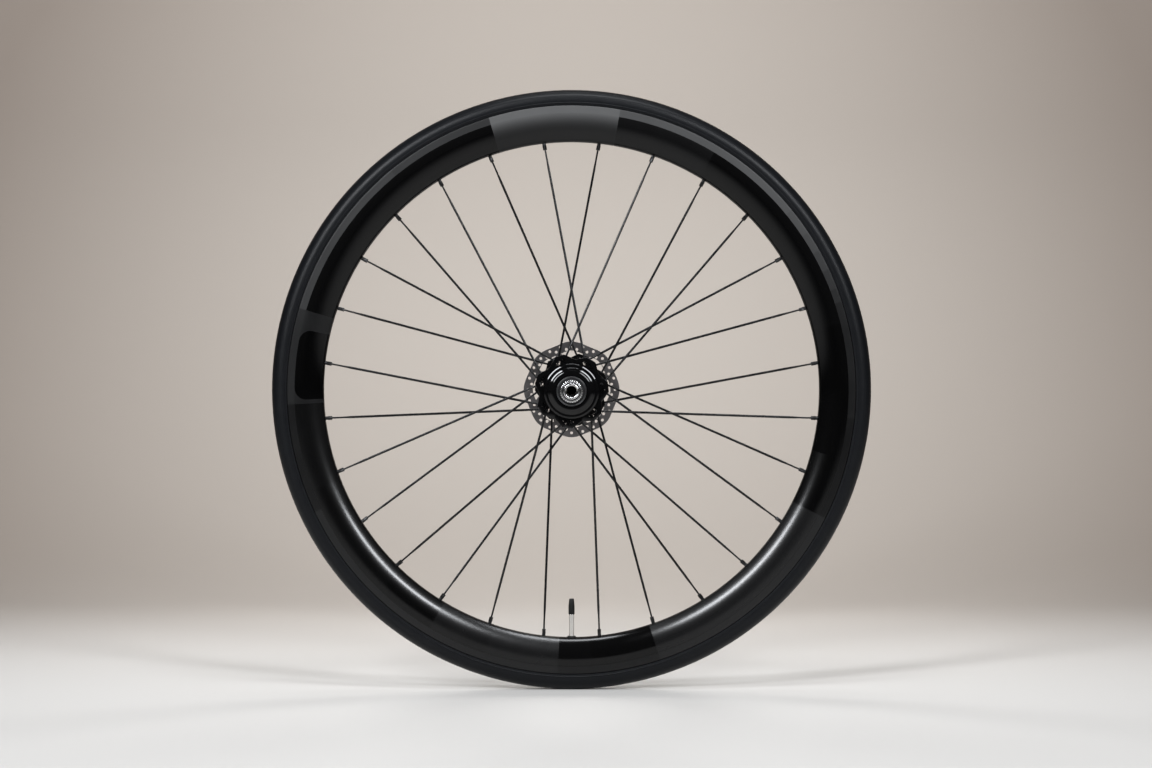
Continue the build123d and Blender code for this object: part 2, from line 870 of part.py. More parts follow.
def make_valve_cap():
    base = -valve_cap_base
    tip = -valve_cap_tip
    roof = tip - 2 * valve_cap_wall
    bore_end = -core_end + core_gap
    return one_solid(
        turned_upright(
            (valve_cap_bore, base),
            (valve_cap_base_radius - valve_cap_wall / 2, base),
            (valve_cap_base_radius, base + valve_cap_chamfer),
            (valve_cap_base_radius, base + valve_cap_taper),
            (valve_cap_tip_radius, tip - valve_cap_wall),
            (valve_cap_tip_radius - valve_cap_wall, tip),
            (0, tip),
            (0, roof),
            (valve_cap_tip_radius - valve_cap_wall, roof),
            (valve_cap_bore, bore_end),
        )
    )


def make_valve_collar():
    top = -rim_nose + collar_height
    ring = turned_upright(
        (stem_radius + fit_gap, -rim_nose - rim_nose_radius / 2),
        (collar_radius, -rim_nose - rim_nose_radius / 2),
        (collar_radius, top - collar_height / 2),
        (collar_radius - collar_height / 2, top),
        (stem_radius + fit_gap, top),
    )
    nose = revolve(
        Pos(rim_nose + rim_nose_radius, 0) * Circle(rim_nose_radius + fit_gap),
        axis=Axis.Y,
    )
    return one_solid(ring - nose)


def make_all():
    nodes = {
        "rim": make_rim(),
        "tyre": make_tyre(),
        "inner_tube": make_inner_tube(),
        "rim_tape": make_rim_tape(),
        "hub_shell": make_hub_shell(),
        "axle": make_axle(),
        "right_end_cap": make_end_cap(-1, right_bearing_outer),
        "left_end_cap": make_end_cap(1, left_bearing_outer),
        "right_dust_ring": make_dust_ring(),
        "right_lip_seal": make_lip_seal(),
        "brake_rotor": make_brake_rotor(),
        "rotor_spider": make_rotor_spider(),
        "rotor_rivets": make_rotor_rivets(),
        "rotor_lockring": make_rotor_lockring(),
        "valve_stem": make_valve_stem(),
        "valve_core": make_valve_core(),
        "valve_pin": make_valve_pin(),
        "valve_lock_nut": make_valve_lock_nut(),
        "valve_cap": make_valve_cap(),
        "valve_collar": make_valve_collar(),
    }
    for side, middle in (
        ("right", (right_bearing_outer + right_bearing_inner) / 2),
        ("left", (left_bearing_outer + left_bearing_inner) / 2),
    ):
        for name, piece in make_bearing(middle).items():
            nodes[f"{side}_bearing_{name}"] = piece
    nipple = make_nipple()
    nipples = []
    for place in range(spoke_count):
        plane = spoke_plane(place)
        nodes[f"spoke_{place + 1:02d}"] = plane * make_spoke(spoke_run(place))
        nipples.append(plane.offset(spoke_run(place)) * nipple)
    nodes["spoke_nipples"] = Compound([one_solid(piece) for piece in nipples])
    return nodes


os.makedirs("parts", exist_ok=True)
for node, piece in make_all().items():
    export_step(piece, f"parts/{node}.step")
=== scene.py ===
from math import acos, asin, atan2, cos, degrees, hypot, pi, radians, sin, tan, tau

import bpy
from bpy.props import FloatProperty, FloatVectorProperty, IntProperty, PointerProperty
from mathutils import Matrix, Vector


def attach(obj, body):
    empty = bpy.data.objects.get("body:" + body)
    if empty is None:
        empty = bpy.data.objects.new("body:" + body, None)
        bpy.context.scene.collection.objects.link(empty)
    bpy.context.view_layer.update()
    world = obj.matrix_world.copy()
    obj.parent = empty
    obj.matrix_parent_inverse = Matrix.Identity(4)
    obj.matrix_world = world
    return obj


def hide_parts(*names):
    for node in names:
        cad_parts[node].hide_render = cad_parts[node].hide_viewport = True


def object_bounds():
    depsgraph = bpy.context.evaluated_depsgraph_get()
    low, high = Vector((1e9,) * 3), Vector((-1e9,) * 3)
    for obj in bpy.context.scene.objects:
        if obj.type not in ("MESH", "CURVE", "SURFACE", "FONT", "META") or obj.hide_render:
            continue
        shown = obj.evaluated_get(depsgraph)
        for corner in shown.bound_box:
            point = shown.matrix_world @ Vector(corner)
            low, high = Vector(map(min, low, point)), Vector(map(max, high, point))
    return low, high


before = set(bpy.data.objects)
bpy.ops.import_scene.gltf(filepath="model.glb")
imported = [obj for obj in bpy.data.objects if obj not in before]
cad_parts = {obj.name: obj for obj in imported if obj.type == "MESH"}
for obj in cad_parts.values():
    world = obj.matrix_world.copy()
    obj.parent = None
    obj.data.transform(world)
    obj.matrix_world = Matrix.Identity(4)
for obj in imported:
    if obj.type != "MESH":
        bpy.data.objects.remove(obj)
CAD_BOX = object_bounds()

bl_info = {
    "name": "Road disc wheel",
    "version": (1, 0, 0),
    "blender": (4, 5, 0),
    "location": "View3D > Sidebar > Wheel",
    "description": "Builds a front road wheel with its finishes and a studio stage",
    "category": "Object",
}

MM = 0.001
MERGE_DISTANCE = 2e-6
SMOOTH_ANGLE = 30
SMALL_RING_STEPS = 112
WHEEL = "wheel"
AXLE = "axle"

# Rim section, in millimetres
BEAD_SEAT = 311.0
RIM_OUTER = 318.0
RIM_NOSE = 277.5
RIM_WIDEST = 303.0
RIM_HALF = 14.0
NOSE_RADIUS = 7.0
SIDE_WALL = 1.8
BAND_HEIGHT = 8.5
BAND_STEP = 0.4
BEAD_HALF = 9.5
EDGE_HALF = 12.2
EDGE_ROUND = 1.0
WELL_RADIUS = 308.0
WELL_HALF = 5.5
WELL_SLOPE = 0.8
CAVITY_TOP = 305.6
NIPPLE_SEAT = 281.0
SPOKE_BED_HALF = 3.8
ACCESS_HOLE = 3.8
NIPPLE_HOLE = 2.3
STEM_HOLE = 3.25
# Drills: lengths, sides, and how far a nipple's drill stands back from the nipple's seat
NIPPLE_DRILL = 9.0
NIPPLE_DRILL_BACK = 1.75
ACCESS_DRILL = 5.0
STEM_DRILL = 40.0
DRILL_SIDES = 20

# Tyre section
CROWN = 336.0
TYRE_EDGE = 318.4
TYRE_EDGE_HALF = 12.5
TREAD = 2.4
SIDEWALL = 1.4
BEAD_GAP = 0.2
BEAD_WIDTH = 2.7
LINE_FROM_EDGE = 2.6
TYRE_SMOOTH = 24

# Spokes and nipples
SPOKES = 28
SPOKE_OFFSET = 21.0
SPOKE_STAGGER = 1.1
SEAT_DISTANCE = 29.0
RIGHT_FLANGE = -33.0
LEFT_FLANGE = 22.5
VALVE_ANGLE = 270.0
SEAT_CLEAR = 0.408
SPOKE_HEAD = 2.2
SPOKE_BUTT = 1.15
BLADE_HALF = 1.32
BLADE_THICK_HALF = 0.5
THREAD_RADIUS = 1.0
THREAD_LENGTH = 24.0
# Blades that sit turned in their seats, in shares of the blade twist, and the share of all others
TURNED_BLADES = {5: -1.2, 10: -0.9, 11: -1.1, 12: -1.7, 13: -1.8, 16: 1.3}
OTHER_BLADES = 0.12
NIPPLE_HEAD = 2.6
NIPPLE_HEAD_RADIUS = 3.1
NIPPLE_ROUND = 2.0
NIPPLE_FLATS = 3.3
NIPPLE_FLATS_EDGE = 0.3
NIPPLE_FLATS_TOP = -5.7
NIPPLE_END = -10.8
# Nipples end up turned by the truing of the wheel: least turn, spread of turns and step, in degrees
NIPPLE_TURN = 20
NIPPLE_TURN_RANGE = 50
NIPPLE_TURN_STEP = 37

# End caps, from the nose that meets the fork inwards
END_FACE = 50.0
AXLE_BORE = 6.05
AXLE_SOCKET = 7.55
AXLE_STOP = 45.25
CAP_NOSE = 9.0
CAP_NECK = 9.1
CAP_RING = 13.0
CAP_RING_TOP = 46.8
CAP_RING_BACK = 44.0
CAP_GROOVE = 10.1
CAP_GROOVE_FLOOR = 45.3
# Rounded crest of the grip ring and lip of the nose: distance in from the outer radius, drop from the top
CAP_CREST = (
    (0, 1.7), (0.06, 1.3), (0.3, 0.85), (0.7, 0.42), (1.2, 0.1), (1.7, 0),
    (2.2, 0.06), (2.6, 0.3), (2.9, 0.7),
)
CAP_LIP = (
    (0, 1.1), (0.1, 0.62), (0.4, 0.24), (0.9, 0.04), (1.2, 0), (1.9, 0),
    (2.25, 0.1), (2.6, 0.4), (2.95, 0.9),
)
# Knurls reach this far in from the grip ring's edge and take this part of each wave
KNURL_REACH = 0.8
KNURL_FROM = 0.4
GROOVE_RING = 0.54
GROOVE_RING_LIFT = 0.7
BEARING_FACES = {"right": -41.5, "left": 31.0}

# Dome of the hub on the right: its mouth, its top and the slope in degrees at radii further out
DOME_INNER = 17.2
DOME_TOP = -43.15
DOME_SLOPES = (
    (19.6, 0), (20.5, 8), (21.5, 17), (22.3, 23), (22.9, 30), (23.4, 34), (23.9, 30), (24.4, 24), (25.0, 21),
    (25.5, 25), (25.9, 38), (26.2, 58), (26.4, 72), (26.42, 0), (28.4, 0), (28.6, 18), (29.0, 22), (29.9, 25),
    (30.3, 40), (30.6, 64),
)
DOME_STEPS = 4
DOME_SMOOTH = 24
DOME_FOOT = 0.25
DOME_CUT_RADIUS = 31.3
DOME_CUT_TOP = -45.0
DOME_CUT_ABOVE = 0.01
HUB_SMOOTH = 28
FLANGE_FACE = -36.75
DUST_RING = (15.1, 16.77)
DUST_RING_BACK = -41.75

# Valve cap, its base at the end of the stem
VALVE_CAP_BASE = 252.1
VALVE_CAP_TIP = 234.3
VALVE_CAP_RADIUS = 3.5
VALVE_CAP_TIP_RADIUS = 2.7
VALVE_CAP_BORE = 2.8
VALVE_CAP_TAPER = 10.0
VALVE_CAP_TIP_WALL = 1.4
VALVE_CORE_END = 244.65
# Flutes of the cap: share of the radius that is left, radius of the skin they take and part of each wave
FLUTE_LEFT = 0.93
FLUTE_SKIN = 3.2
FLUTE_FROM = 0.9

# Studio, in metres: paper sweep, where its floor and wall change tone and where painted shade darkens the
# wall's sides and the far floor, soft boxes as (place, size), camera
SWEEP_SIZE = (56, 15.6, 1)
SWEEP_MIDDLE = -6.2
SWEEP_RISE = 4
SWEEP_BEND = 0.75
SWEEP_BEND_STEPS = 24
WALL_FROM = -0.12
WALL_BEFORE_END = 0.4
WALL_SHADE_FADE = 1.2
FLOOR_SHADE_FADE = (-0.55, -2.0)
FRONT_BOX = ((1.45, -2.05, 1.45), (1.4, 0.44))
REAR_BOX = ((1.0, 1.25, 0.92), (0.7, 0.6))
REAR_SPREAD = 75
TOP_BOX = ((0.1, -0.7, 2.0), (1.0, 0.3))
WALL_BOX = ((0, 0.45, 2.1), (1.2, 0.4))
WALL_BOX_AIM = (0, 1.6, 0.2)
WALL_SPREAD = 100
COOL_LIGHT = (0.94, 0.965, 1.0)
ROOM_LIGHT = (1.0, 0.98, 0.95, 1)
CAMERA_SIDE = 0.005
CAMERA_AIM_HEIGHT = 0.007
# Section of the stand's peg, in millimetres
STAND_PEG = ((0, 14), (5.4, 14), (5.7, 14.6), (5.7, 47), (0, 47))


def tint(name, description, default):
    """Colour setting."""
    return FloatVectorProperty(
        name=name, description=description, default=default, size=3, min=0, max=1, subtype="COLOR"
    )


def length(name, description, default):
    """Length setting, in metres."""
    return FloatProperty(
        name=name, description=description, default=default, min=0, precision=5, unit="LENGTH"
    )


def angle_of(name, description, default):
    """Angle setting, its default in degrees."""
    return FloatProperty(name=name, description=description, default=radians(default), subtype="ANGLE")


def amount(name, description, default, least=0):
    """Plain number setting."""
    return FloatProperty(name=name, description=description, default=default, min=least)


def count(name, description, default, least):
    """Whole number setting."""
    return IntProperty(name=name, description=description, default=default, min=least)


class WheelShape(bpy.types.PropertyGroup):
    """Sizes of the detail that the looks add to the solids."""

    ring_steps: count("Ring steps", "Sections round rim and tyre", 224, 56)
    tread_angle: angle_of("Tread edge", "Where the tread cap ends", 62)
    tread_step: length("Tread step", "Height of the tread cap over the sidewall", 0.00018)
    rib_height: length("Rim line", "Height of the moulded line beside the rim", 0.00025)
    knurl_count: count("Knurls", "Grooves round each end cap", 28, 8)
    knurl_depth: length("Knurl depth", "Depth of the grooves in the end caps", 0.0005)
    flute_count: count("Flutes", "Grooves round the valve cap", 12, 4)
    blade_twist: angle_of("Blade twist", "How far single blades are turned", 9)


class WheelColours(bpy.types.PropertyGroup):
    """Colours of the finishes."""

    tyre: tint("Tyre", "Rubber of the tread and sidewall", (0.0048, 0.0054, 0.0067))
    rim_gloss: tint("Rim gloss", "Lacquered panels of the rim", (0.0012, 0.0012, 0.0013))
    rim_matte: tint("Rim matte", "Unlacquered panels of the rim", (0.0085, 0.0085, 0.0088))
    # Pale tone of the top panel, also used for the painted reflection along the band over the top of the
    # wheel
    rim_pale_and_painted_sheen: tint("Rim pale", "Pale panel opposite the valve", (0.085, 0.085, 0.085))
    hub: tint("Hub", "Polished black shell", (0.002, 0.002, 0.0022))
    spoke: tint("Spokes", "Black coated blades", (0.0035, 0.0035, 0.0038))
    silver: tint("Silver", "Turned aluminium", (0.74, 0.74, 0.75))
    rotor: tint("Rotor", "Ground steel", (0.285, 0.275, 0.278))
    valve: tint("Valve", "Plated brass", (0.78, 0.76, 0.73))
    plastic: tint("Plastic", "Valve cap", (0.004, 0.004, 0.004))


class WheelStage(bpy.types.PropertyGroup):
    """Floor, light and camera."""

    floor: tint("Floor", "Pale floor", (0.565, 0.553, 0.535))
    # Painted shade: the floor darkens far in front of the wheel
    floor_far_painted_shade: tint("Floor edge", "Floor far in front of the wheel", (0.18, 0.177, 0.172))
    wall: tint("Wall", "Warm grey backdrop behind the wheel", (0.445, 0.404, 0.364))
    # Painted shade: the wall darkens away from its middle
    wall_edge_painted_shade: tint("Wall edge", "Backdrop far from the wheel", (0.285, 0.242, 0.209))
    distance: length("Camera distance", "From the wheel's middle plane", 3.0)
    height: length("Camera height", "Above the axle", 0.087)
    lens: amount("Lens", "Focal length in millimetres", 83.6, 10)
    left_box: amount("Left box", "Power of the left soft box in watts", 63)
    right_box: amount("Right box", "Power of the right soft box in watts", 46)
    rear_boxes: amount("Rear boxes", "Power of each rear box in watts", 3)
    top_box: amount("Top box", "Power of the box overhead in watts", 18)
    wall_box: amount("Wall box", "Power of the box for the wall in watts", 10)
    world: amount("Room", "Strength of the room's light", 0.055)


# Modelling helpers


def mode(kind):
    """Blender's mode set to EDIT or OBJECT."""
    bpy.ops.object.mode_set(mode=kind)


def deselect():
    """Object mode with nothing selected."""
    if bpy.context.mode != "OBJECT":
        mode("OBJECT")
    bpy.ops.object.select_all(action="DESELECT")


def pick(*pieces):
    """Only these pieces selected, the last one active."""
    deselect()
    for piece in pieces:
        piece.select_set(True)
        bpy.context.view_layer.objects.active = piece


def named(name):
    """The active object and its mesh under a new name."""
    piece = bpy.context.object
    piece.name = name
    piece.data.name = name
    return piece


def edit_all(piece):
    """Edit mode on one piece with all of it selected."""
    pick(piece)
    mode("EDIT")
    bpy.ops.mesh.select_all(action="SELECT")


def smooth(piece, angle=SMOOTH_ANGLE):
    """Smooth shading that keeps edges sharper than an angle sharp."""
    pick(piece)
    bpy.ops.object.shade_smooth_by_angle(angle=radians(angle))
    return piece


def fix_place(piece):
    """Place, turn and scale of a piece written into its mesh."""
    pick(piece)
    bpy.ops.object.transform_apply(location=True, rotation=True, scale=True)


def close_mesh(piece, angle, flip=False):
    """Doubles merged, normals set, edges sharper than an angle kept sharp."""
    edit_all(piece)
    bpy.ops.mesh.remove_doubles(threshold=MERGE_DISTANCE)
    bpy.ops.mesh.normals_make_consistent(inside=flip)
    mode("OBJECT")
    return smooth(piece, angle)


def turned(name, outline, steps, upright=False, flip=False, angle=SMOOTH_ANGLE):
    """Piece turned from a closed outline of (radius, place along the axis) points in millimetres."""
    if upright:
        places = [Vector((r * MM, 0, along * MM)) for r, along in outline]
        axis = (0, 0, 1)
    else:
        places = [Vector((r * MM, along * MM, 0)) for r, along in outline]
        axis = (0, 1, 0)
    deselect()
    bpy.ops.mesh.primitive_plane_add(size=MM)
    piece = named(name)
    mode("EDIT")
    bpy.ops.mesh.select_mode(type="VERT")
    bpy.ops.mesh.select_all(action="SELECT")
    bpy.ops.mesh.merge(type="CENTER")
    bpy.ops.transform.translate(value=places[0])
    for start, end in zip(places, places[1:] + places[:1]):
        bpy.ops.mesh.extrude_vertices_move(TRANSFORM_OT_translate={"value": end - start})
    bpy.ops.mesh.select_all(action="SELECT")
    bpy.ops.mesh.remove_doubles(threshold=MERGE_DISTANCE)
    bpy.ops.mesh.select_all(action="SELECT")
    bpy.ops.mesh.spin(steps=steps, angle=tau, center=(0, 0, 0), axis=axis)
    return close_mesh(piece, angle, flip)


def drawn_rod(name, rings, vertices=20, angle=SMOOTH_ANGLE):
    """Rod along Z through rings of (place, half width, half thickness) in millimetres."""
    start, wide, thick = rings[0]
    deselect()
    bpy.ops.mesh.primitive_circle_add(
        vertices=vertices, radius=MM, fill_type="NGON", location=(0, 0, 0)
    )
    piece = named(name)
    mode("EDIT")
    bpy.ops.mesh.select_all(action="SELECT")
    bpy.ops.transform.translate(value=(0, 0, start * MM))
    bpy.ops.transform.resize(value=(wide, thick, 1), center_override=(0, 0, start * MM))
    for place, next_wide, next_thick in rings[1:]:
        bpy.ops.mesh.extrude_region_move(TRANSFORM_OT_translate={"value": (0, 0, (place - start) * MM)})
        grow = (next_wide / wide, next_thick / thick, 1)
        bpy.ops.transform.resize(value=grow, center_override=(0, 0, place * MM))
        start, wide, thick = place, next_wide, next_thick
    return close_mesh(piece, angle)


def pinch(piece, factor, test, upright=False):
    """Vertices that pass a test drawn in towards the piece's axis."""
    pick(piece)
    mode("EDIT")
    bpy.ops.mesh.select_mode(type="VERT")
    bpy.ops.mesh.select_all(action="DESELECT")
    mode("OBJECT")
    for vertex in piece.data.vertices:
        vertex.select = test(vertex.co / MM)
    mode("EDIT")
    across = (factor, factor, 1) if upright else (factor, 1, factor)
    bpy.ops.transform.resize(value=across, center_override=(0, 0, 0))
    mode("OBJECT")
    smooth(piece)


def cad_copy(node, name, angle=SMOOTH_ANGLE):
    """Copy of a solid's mesh with its doubles merged and smooth shading that leaves flat faces flat."""
    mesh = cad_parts[node].data.copy()
    mesh.materials.clear()
    piece = bpy.data.objects.new(name, mesh)
    bpy.context.scene.collection.objects.link(piece)
    edit_all(piece)
    bpy.ops.mesh.remove_doubles(threshold=MERGE_DISTANCE)
    mode("OBJECT")
    return flat_faces(piece, angle)


def flat_faces(piece, angle):
    """Smooth shading up to an angle, with the normals of large faces kept."""
    smooth(piece, angle)
    apply_modifier(piece, "WEIGHTED_NORMAL", keep_sharp=True)
    return piece


def join(pieces):
    """Pieces joined into the last one."""
    pick(*pieces)
    bpy.ops.object.join()
    return bpy.context.object


def apply_modifier(piece, kind, **values):
    """Modifier added with its values and applied."""
    pick(piece)
    modifier = piece.modifiers.new(kind.title(), kind)
    for key, value in values.items():
        setattr(modifier, key, value)
    bpy.ops.object.modifier_apply(modifier=modifier.name)


def put(piece, material, body, slot, *nodes):
    """Finish and body of a piece, with the solids it stands for hidden; the record slot is not used."""
    piece.data.materials.clear()
    piece.data.materials.append(material)
    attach(piece, body)
    if nodes:
        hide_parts(*nodes)
    return piece


def dress(node, material):
    """Finish on a solid that stays."""
    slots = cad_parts[node].data.materials
    slots.clear()
    slots.append(material)


# Finish helpers

# Broad grain against fine grain, threads round the tyre and where its sidewall's threads set in
BROAD_GRAIN = 24
TYRE_THREADS = 1500
SIDEWALL_FADE = (9.0, 11.0)


def add(tree, kind, inputs=None, **settings):
    """Node with its settings, and its inputs set or linked."""
    node = tree.nodes.new(kind)
    for key, value in settings.items():
        setattr(node, key, value)
    for key, value in (inputs or {}).items():
        if isinstance(value, bpy.types.NodeSocket):
            tree.links.new(value, node.inputs[key])
        else:
            node.inputs[key].default_value = value
    return node


def sums(tree, operation, *values):
    """Output of a maths node."""
    return add(tree, "ShaderNodeMath", dict(enumerate(values)), operation=operation).outputs[0]


def ranged(tree, value, start, end, low=0.0, high=1.0, **settings):
    """Number that runs from low to high while a value runs from its start to its end."""
    inputs = {"Value": value, "From Min": start, "From Max": end, "To Min": low, "To Max": high}
    return add(tree, "ShaderNodeMapRange", inputs, **settings).outputs[0]


def noise_at(tree, place, scale=1.0, detail=3.0, roughness=0.6):
    """Value of a noise at a place."""
    inputs = {"Vector": place, "Scale": scale, "Detail": detail, "Roughness": roughness}
    return add(tree, "ShaderNodeTexNoise", inputs).outputs["Fac"]


def squares(tree, first, second):
    """Sum of two squares."""
    return sums(tree, "ADD", sums(tree, "MULTIPLY", first, first), sums(tree, "MULTIPLY", second, second))


def blend(tree, share, first, second):
    """Colour between two colours."""
    node = add(tree, "ShaderNodeMix", data_type="RGBA")
    for socket, value in ((0, share), (6, first), (7, second)):
        if isinstance(value, bpy.types.NodeSocket):
            tree.links.new(value, node.inputs[socket])
        elif socket == 0:
            node.inputs[socket].default_value = value
        else:
            node.inputs[socket].default_value = (*value, 1)
    return node.outputs[2]


def group(name, inputs, outputs):
    """Node group with named number sockets and its two ends, or without ends if it is there already."""
    made = bpy.data.node_groups.get(name)
    if made:
        return made, None, None
    made = bpy.data.node_groups.new(name, "ShaderNodeTree")
    number = {"socket_type": "NodeSocketFloat"}
    for socket, default in inputs.items():
        made.interface.new_socket(socket, in_out="INPUT", **number).default_value = default
    for socket in outputs:
        made.interface.new_socket(socket, in_out="OUTPUT", **number)
    return made, made.nodes.new("NodeGroupInput"), made.nodes.new("NodeGroupOutput")


def wheel_place():
    """Group that gives a point's radius and place along the axle in millimetres, and its turn from 0 to 1."""
    tree, source, result = group("Wheel place", {}, ("Radius", "Turn", "Along"))
    if result:
        place = add(tree, "ShaderNodeTexCoord").outputs["Object"]
        axes = add(tree, "ShaderNodeSeparateXYZ", {0: place}).outputs
        radius = sums(tree, "MULTIPLY", sums(tree, "SQRT", squares(tree, axes[0], axes[2])), 1 / MM)
        turn = sums(tree, "DIVIDE", sums(tree, "ARCTAN2", axes[2], axes[0]), tau)
        tree.links.new(radius, result.inputs["Radius"])
        tree.links.new(sums(tree, "FRACT", sums(tree, "ADD", turn, 1)), result.inputs["Turn"])
        tree.links.new(sums(tree, "MULTIPLY", axes[1], 1 / MM), result.inputs["Along"])
    return tree


def grain():
    """Group of even fine grain: a value from 0 to 1 at a scale in millimetres."""
    tree, source, result = group("Fine grain", {"Size": 0.5, "Contrast": 1.0}, ("Value",))
    if result:
        place = add(tree, "ShaderNodeTexCoord").outputs["Object"]
        scale = sums(tree, "DIVIDE", 1 / MM, source.outputs["Size"])
        noise = sums(tree, "SUBTRACT", noise_at(tree, place, scale, roughness=0.55), 0.5)
        lifted = sums(tree, "MULTIPLY_ADD", noise, source.outputs["Contrast"], 0.5)
        tree.links.new(add(tree, "ShaderNodeClamp", {0: lifted}).outputs[0], result.inputs["Value"])
    return tree


def lathe_lines():
    """Group of fine rings round the axle, uneven as a tool leaves them."""
    tree, source, result = group("Lathe lines", {"Pitch": 0.3}, ("Value",))
    if result:
        place = add(tree, "ShaderNodeGroup", node_tree=wheel_place()).outputs
        across = sums(tree, "ADD", place["Radius"], place["Along"])
        line = add(
            tree,
            "ShaderNodeTexNoise",
            {"W": sums(tree, "DIVIDE", across, source.outputs["Pitch"]), "Scale": 1.0, "Detail": 2.0},
            noise_dimensions="1D",
        ).outputs["Fac"]
        tree.links.new(line, result.inputs["Value"])
    return tree


def use(tree, made, **values):
    """Outputs of a group placed in a material."""
    return add(tree, "ShaderNodeGroup", values, node_tree=made).outputs


def shader_of(material):
    """The shader of a finish."""
    return material.node_tree.nodes["Principled BSDF"]


def feed(material, socket, value):
    """Output linked to an input of a finish."""
    material.node_tree.links.new(value, shader_of(material).inputs[socket])


def emboss(material, strength, distance, height):
    """Relief of a finish, over the relief that it has already."""
    normal = shader_of(material).inputs["Normal"]
    inputs = {"Strength": strength, "Distance": distance, "Height": height}
    if normal.links:
        inputs["Normal"] = normal.links[0].from_socket
    feed(material, "Normal", add(material.node_tree, "ShaderNodeBump", inputs).outputs[0])


def finish(name, colour, roughness, metallic=0.0, shine=0.5, grain_size=0.4, bump=0.00001, wear=0.25):
    """Material with a fine grain in its colour, roughness and surface."""
    colour = tuple(colour)
    material = bpy.data.materials.new(f"{name}_finish")
    material.use_nodes = True
    tree = material.node_tree
    shader_of(material).inputs["Metallic"].default_value = metallic
    shader_of(material).inputs["Specular IOR Level"].default_value = shine
    fine = use(tree, grain(), Size=grain_size, Contrast=1.6)["Value"]
    broad = use(tree, grain(), Size=BROAD_GRAIN * grain_size, Contrast=1.8)["Value"]
    darker = tuple(channel * (1 - wear) for channel in colour)
    feed(material, "Base Color", blend(tree, broad, darker, colour))
    mixed = sums(tree, "MULTIPLY_ADD", fine, 0.5, sums(tree, "MULTIPLY", broad, 0.5))
    rough = ranged(tree, mixed, 0, 1, roughness * (1 - wear), min(1, roughness * (1 + wear)))
    feed(material, "Roughness", rough)
    emboss(material, 0.6, bump, fine)
    return material


def turned_finish(name, colour, roughness, metallic, shine, pitch, depth):
    """Finish of a piece from the lathe."""
    material = finish(name, colour, roughness, metallic, shine, bump=0.000003, wear=0.1)
    emboss(material, 0.7, depth, use(material.node_tree, lathe_lines(), Pitch=pitch)["Value"])
    return material


def colours():
    """Colour settings."""
    return bpy.context.scene.wheel_colours


def shape():
    """Size settings."""
    return bpy.context.scene.wheel_shape


def tyre_rubber():
    """Dull rubber with a smooth tread and fine threads in the sidewall."""
    rubber = {"shine": 0.18, "grain_size": 0.5, "bump": 0.00003, "wear": 0.16}
    material = finish("tyre_rubber", colours().tyre, 0.38, **rubber)
    tree = material.node_tree
    place = use(tree, wheel_place())
    thread = sums(tree, "SINE", sums(tree, "MULTIPLY", place["Turn"], tau * TYRE_THREADS))
    sidewall = ranged(tree, sums(tree, "ABSOLUTE", place["Along"]), *SIDEWALL_FADE)
    emboss(material, 0.5, 0.00003, sums(tree, "MULTIPLY", thread, sidewall))
    return material


# Panels of the rim: the angle at which each starts, its share of bare surface and its roughness
PANELS = (
    (0.0, 0.0, 0.10), (14.0, 0.08, 0.12), (58.4, 0.42, 0.18), (79.0, 1.0, 0.30), (106.5, 0.08, 0.12),
    (163.0, 1.0, 0.28), (182.0, 0.25, 0.18), (200.0, 0.1, 0.17), (226.0, 0.04, 0.14), (238.5, 0.6, 0.24),
    (251.0, 0.8, 0.26), (266.5, 0.1, 0.14), (273.0, 0.05, 0.12), (288.0, 1.0, 0.21), (333.0, 0.0, 0.12),
)
# Panels of the band beside the tyre: start, share of bare surface and share of pale tone; the pale tone,
# rising to full over the top of the wheel, is painted reflection of the light from above
BAND_PANELS = (
    (0.0, 0.6, 0.0), (17.0, 0.9, 0.08), (21.0, 1.0, 0.17), (25.0, 1.0, 0.27), (29.0, 1.0, 0.38),
    (33.0, 1.0, 0.5), (38.0, 1.0, 0.62), (79.0, 1.0, 1.0), (106.5, 0.9, 0.16), (129.0, 0.9, 0.28),
    (163.0, 0.6, 0.1), (182.0, 0.2, 0.0), (204.0, 0.8, 0.05), (266.5, 0.6, 0.0), (288.0, 0.85, 0.05),
    (333.0, 0.05, 0.0), (353.5, 0.6, 0.0),
)
BAND_ROUGHNESS = 0.34
# The pale panel at the top: start and share, and the radii between which it grows pale; its paling outward is
# partly its own tone and partly painted reflection of the light from above
PALE_PANEL_AND_SHEEN = ((0.0, 0.0), (79.0, 1.0), (106.5, 0.0))
PAINTED_SHEEN_FADE = (291.0, 311.0)
# Panels with a clear coat on the nose: start and weight of the coat, and the radii between which it ends
COAT_PANELS = (
    (0.0, 0.0), (182.0, 0.35), (200.0, 0.65), (266.5, 0.0), (288.0, 0.65), (333.0, 0.35), (345.0, 0.0),
)
COAT_FADE = (290.0, 297.0)
COAT_ROUGHNESS = 0.24
# The black panel on the left: its middle in degrees, radius there, half width, outer radius and corners
WINDOW_MIDDLE = 174.5
WINDOW_RADIUS = 293
WINDOW_HALF = 38.0
WINDOW_OUTER = 309.3
WINDOW_CORNER = 13.0
WINDOW_ROUGHNESS = 0.08


def panel_ramp(tree, turn, panels, column=1):
    """Value that changes at set turns round the rim, given in degrees."""
    ramp = add(tree, "ShaderNodeValToRGB", {"Fac": turn})
    ramp.color_ramp.interpolation = "CONSTANT"
    stops = ramp.color_ramp.elements
    stops.remove(stops[1])
    stops[0].color = (*[panels[0][column]] * 3, 1)
    for panel in panels[1:]:
        stops.new(panel[0] / 360).color = (*[panel[column]] * 3, 1)
    return ramp.outputs["Color"]


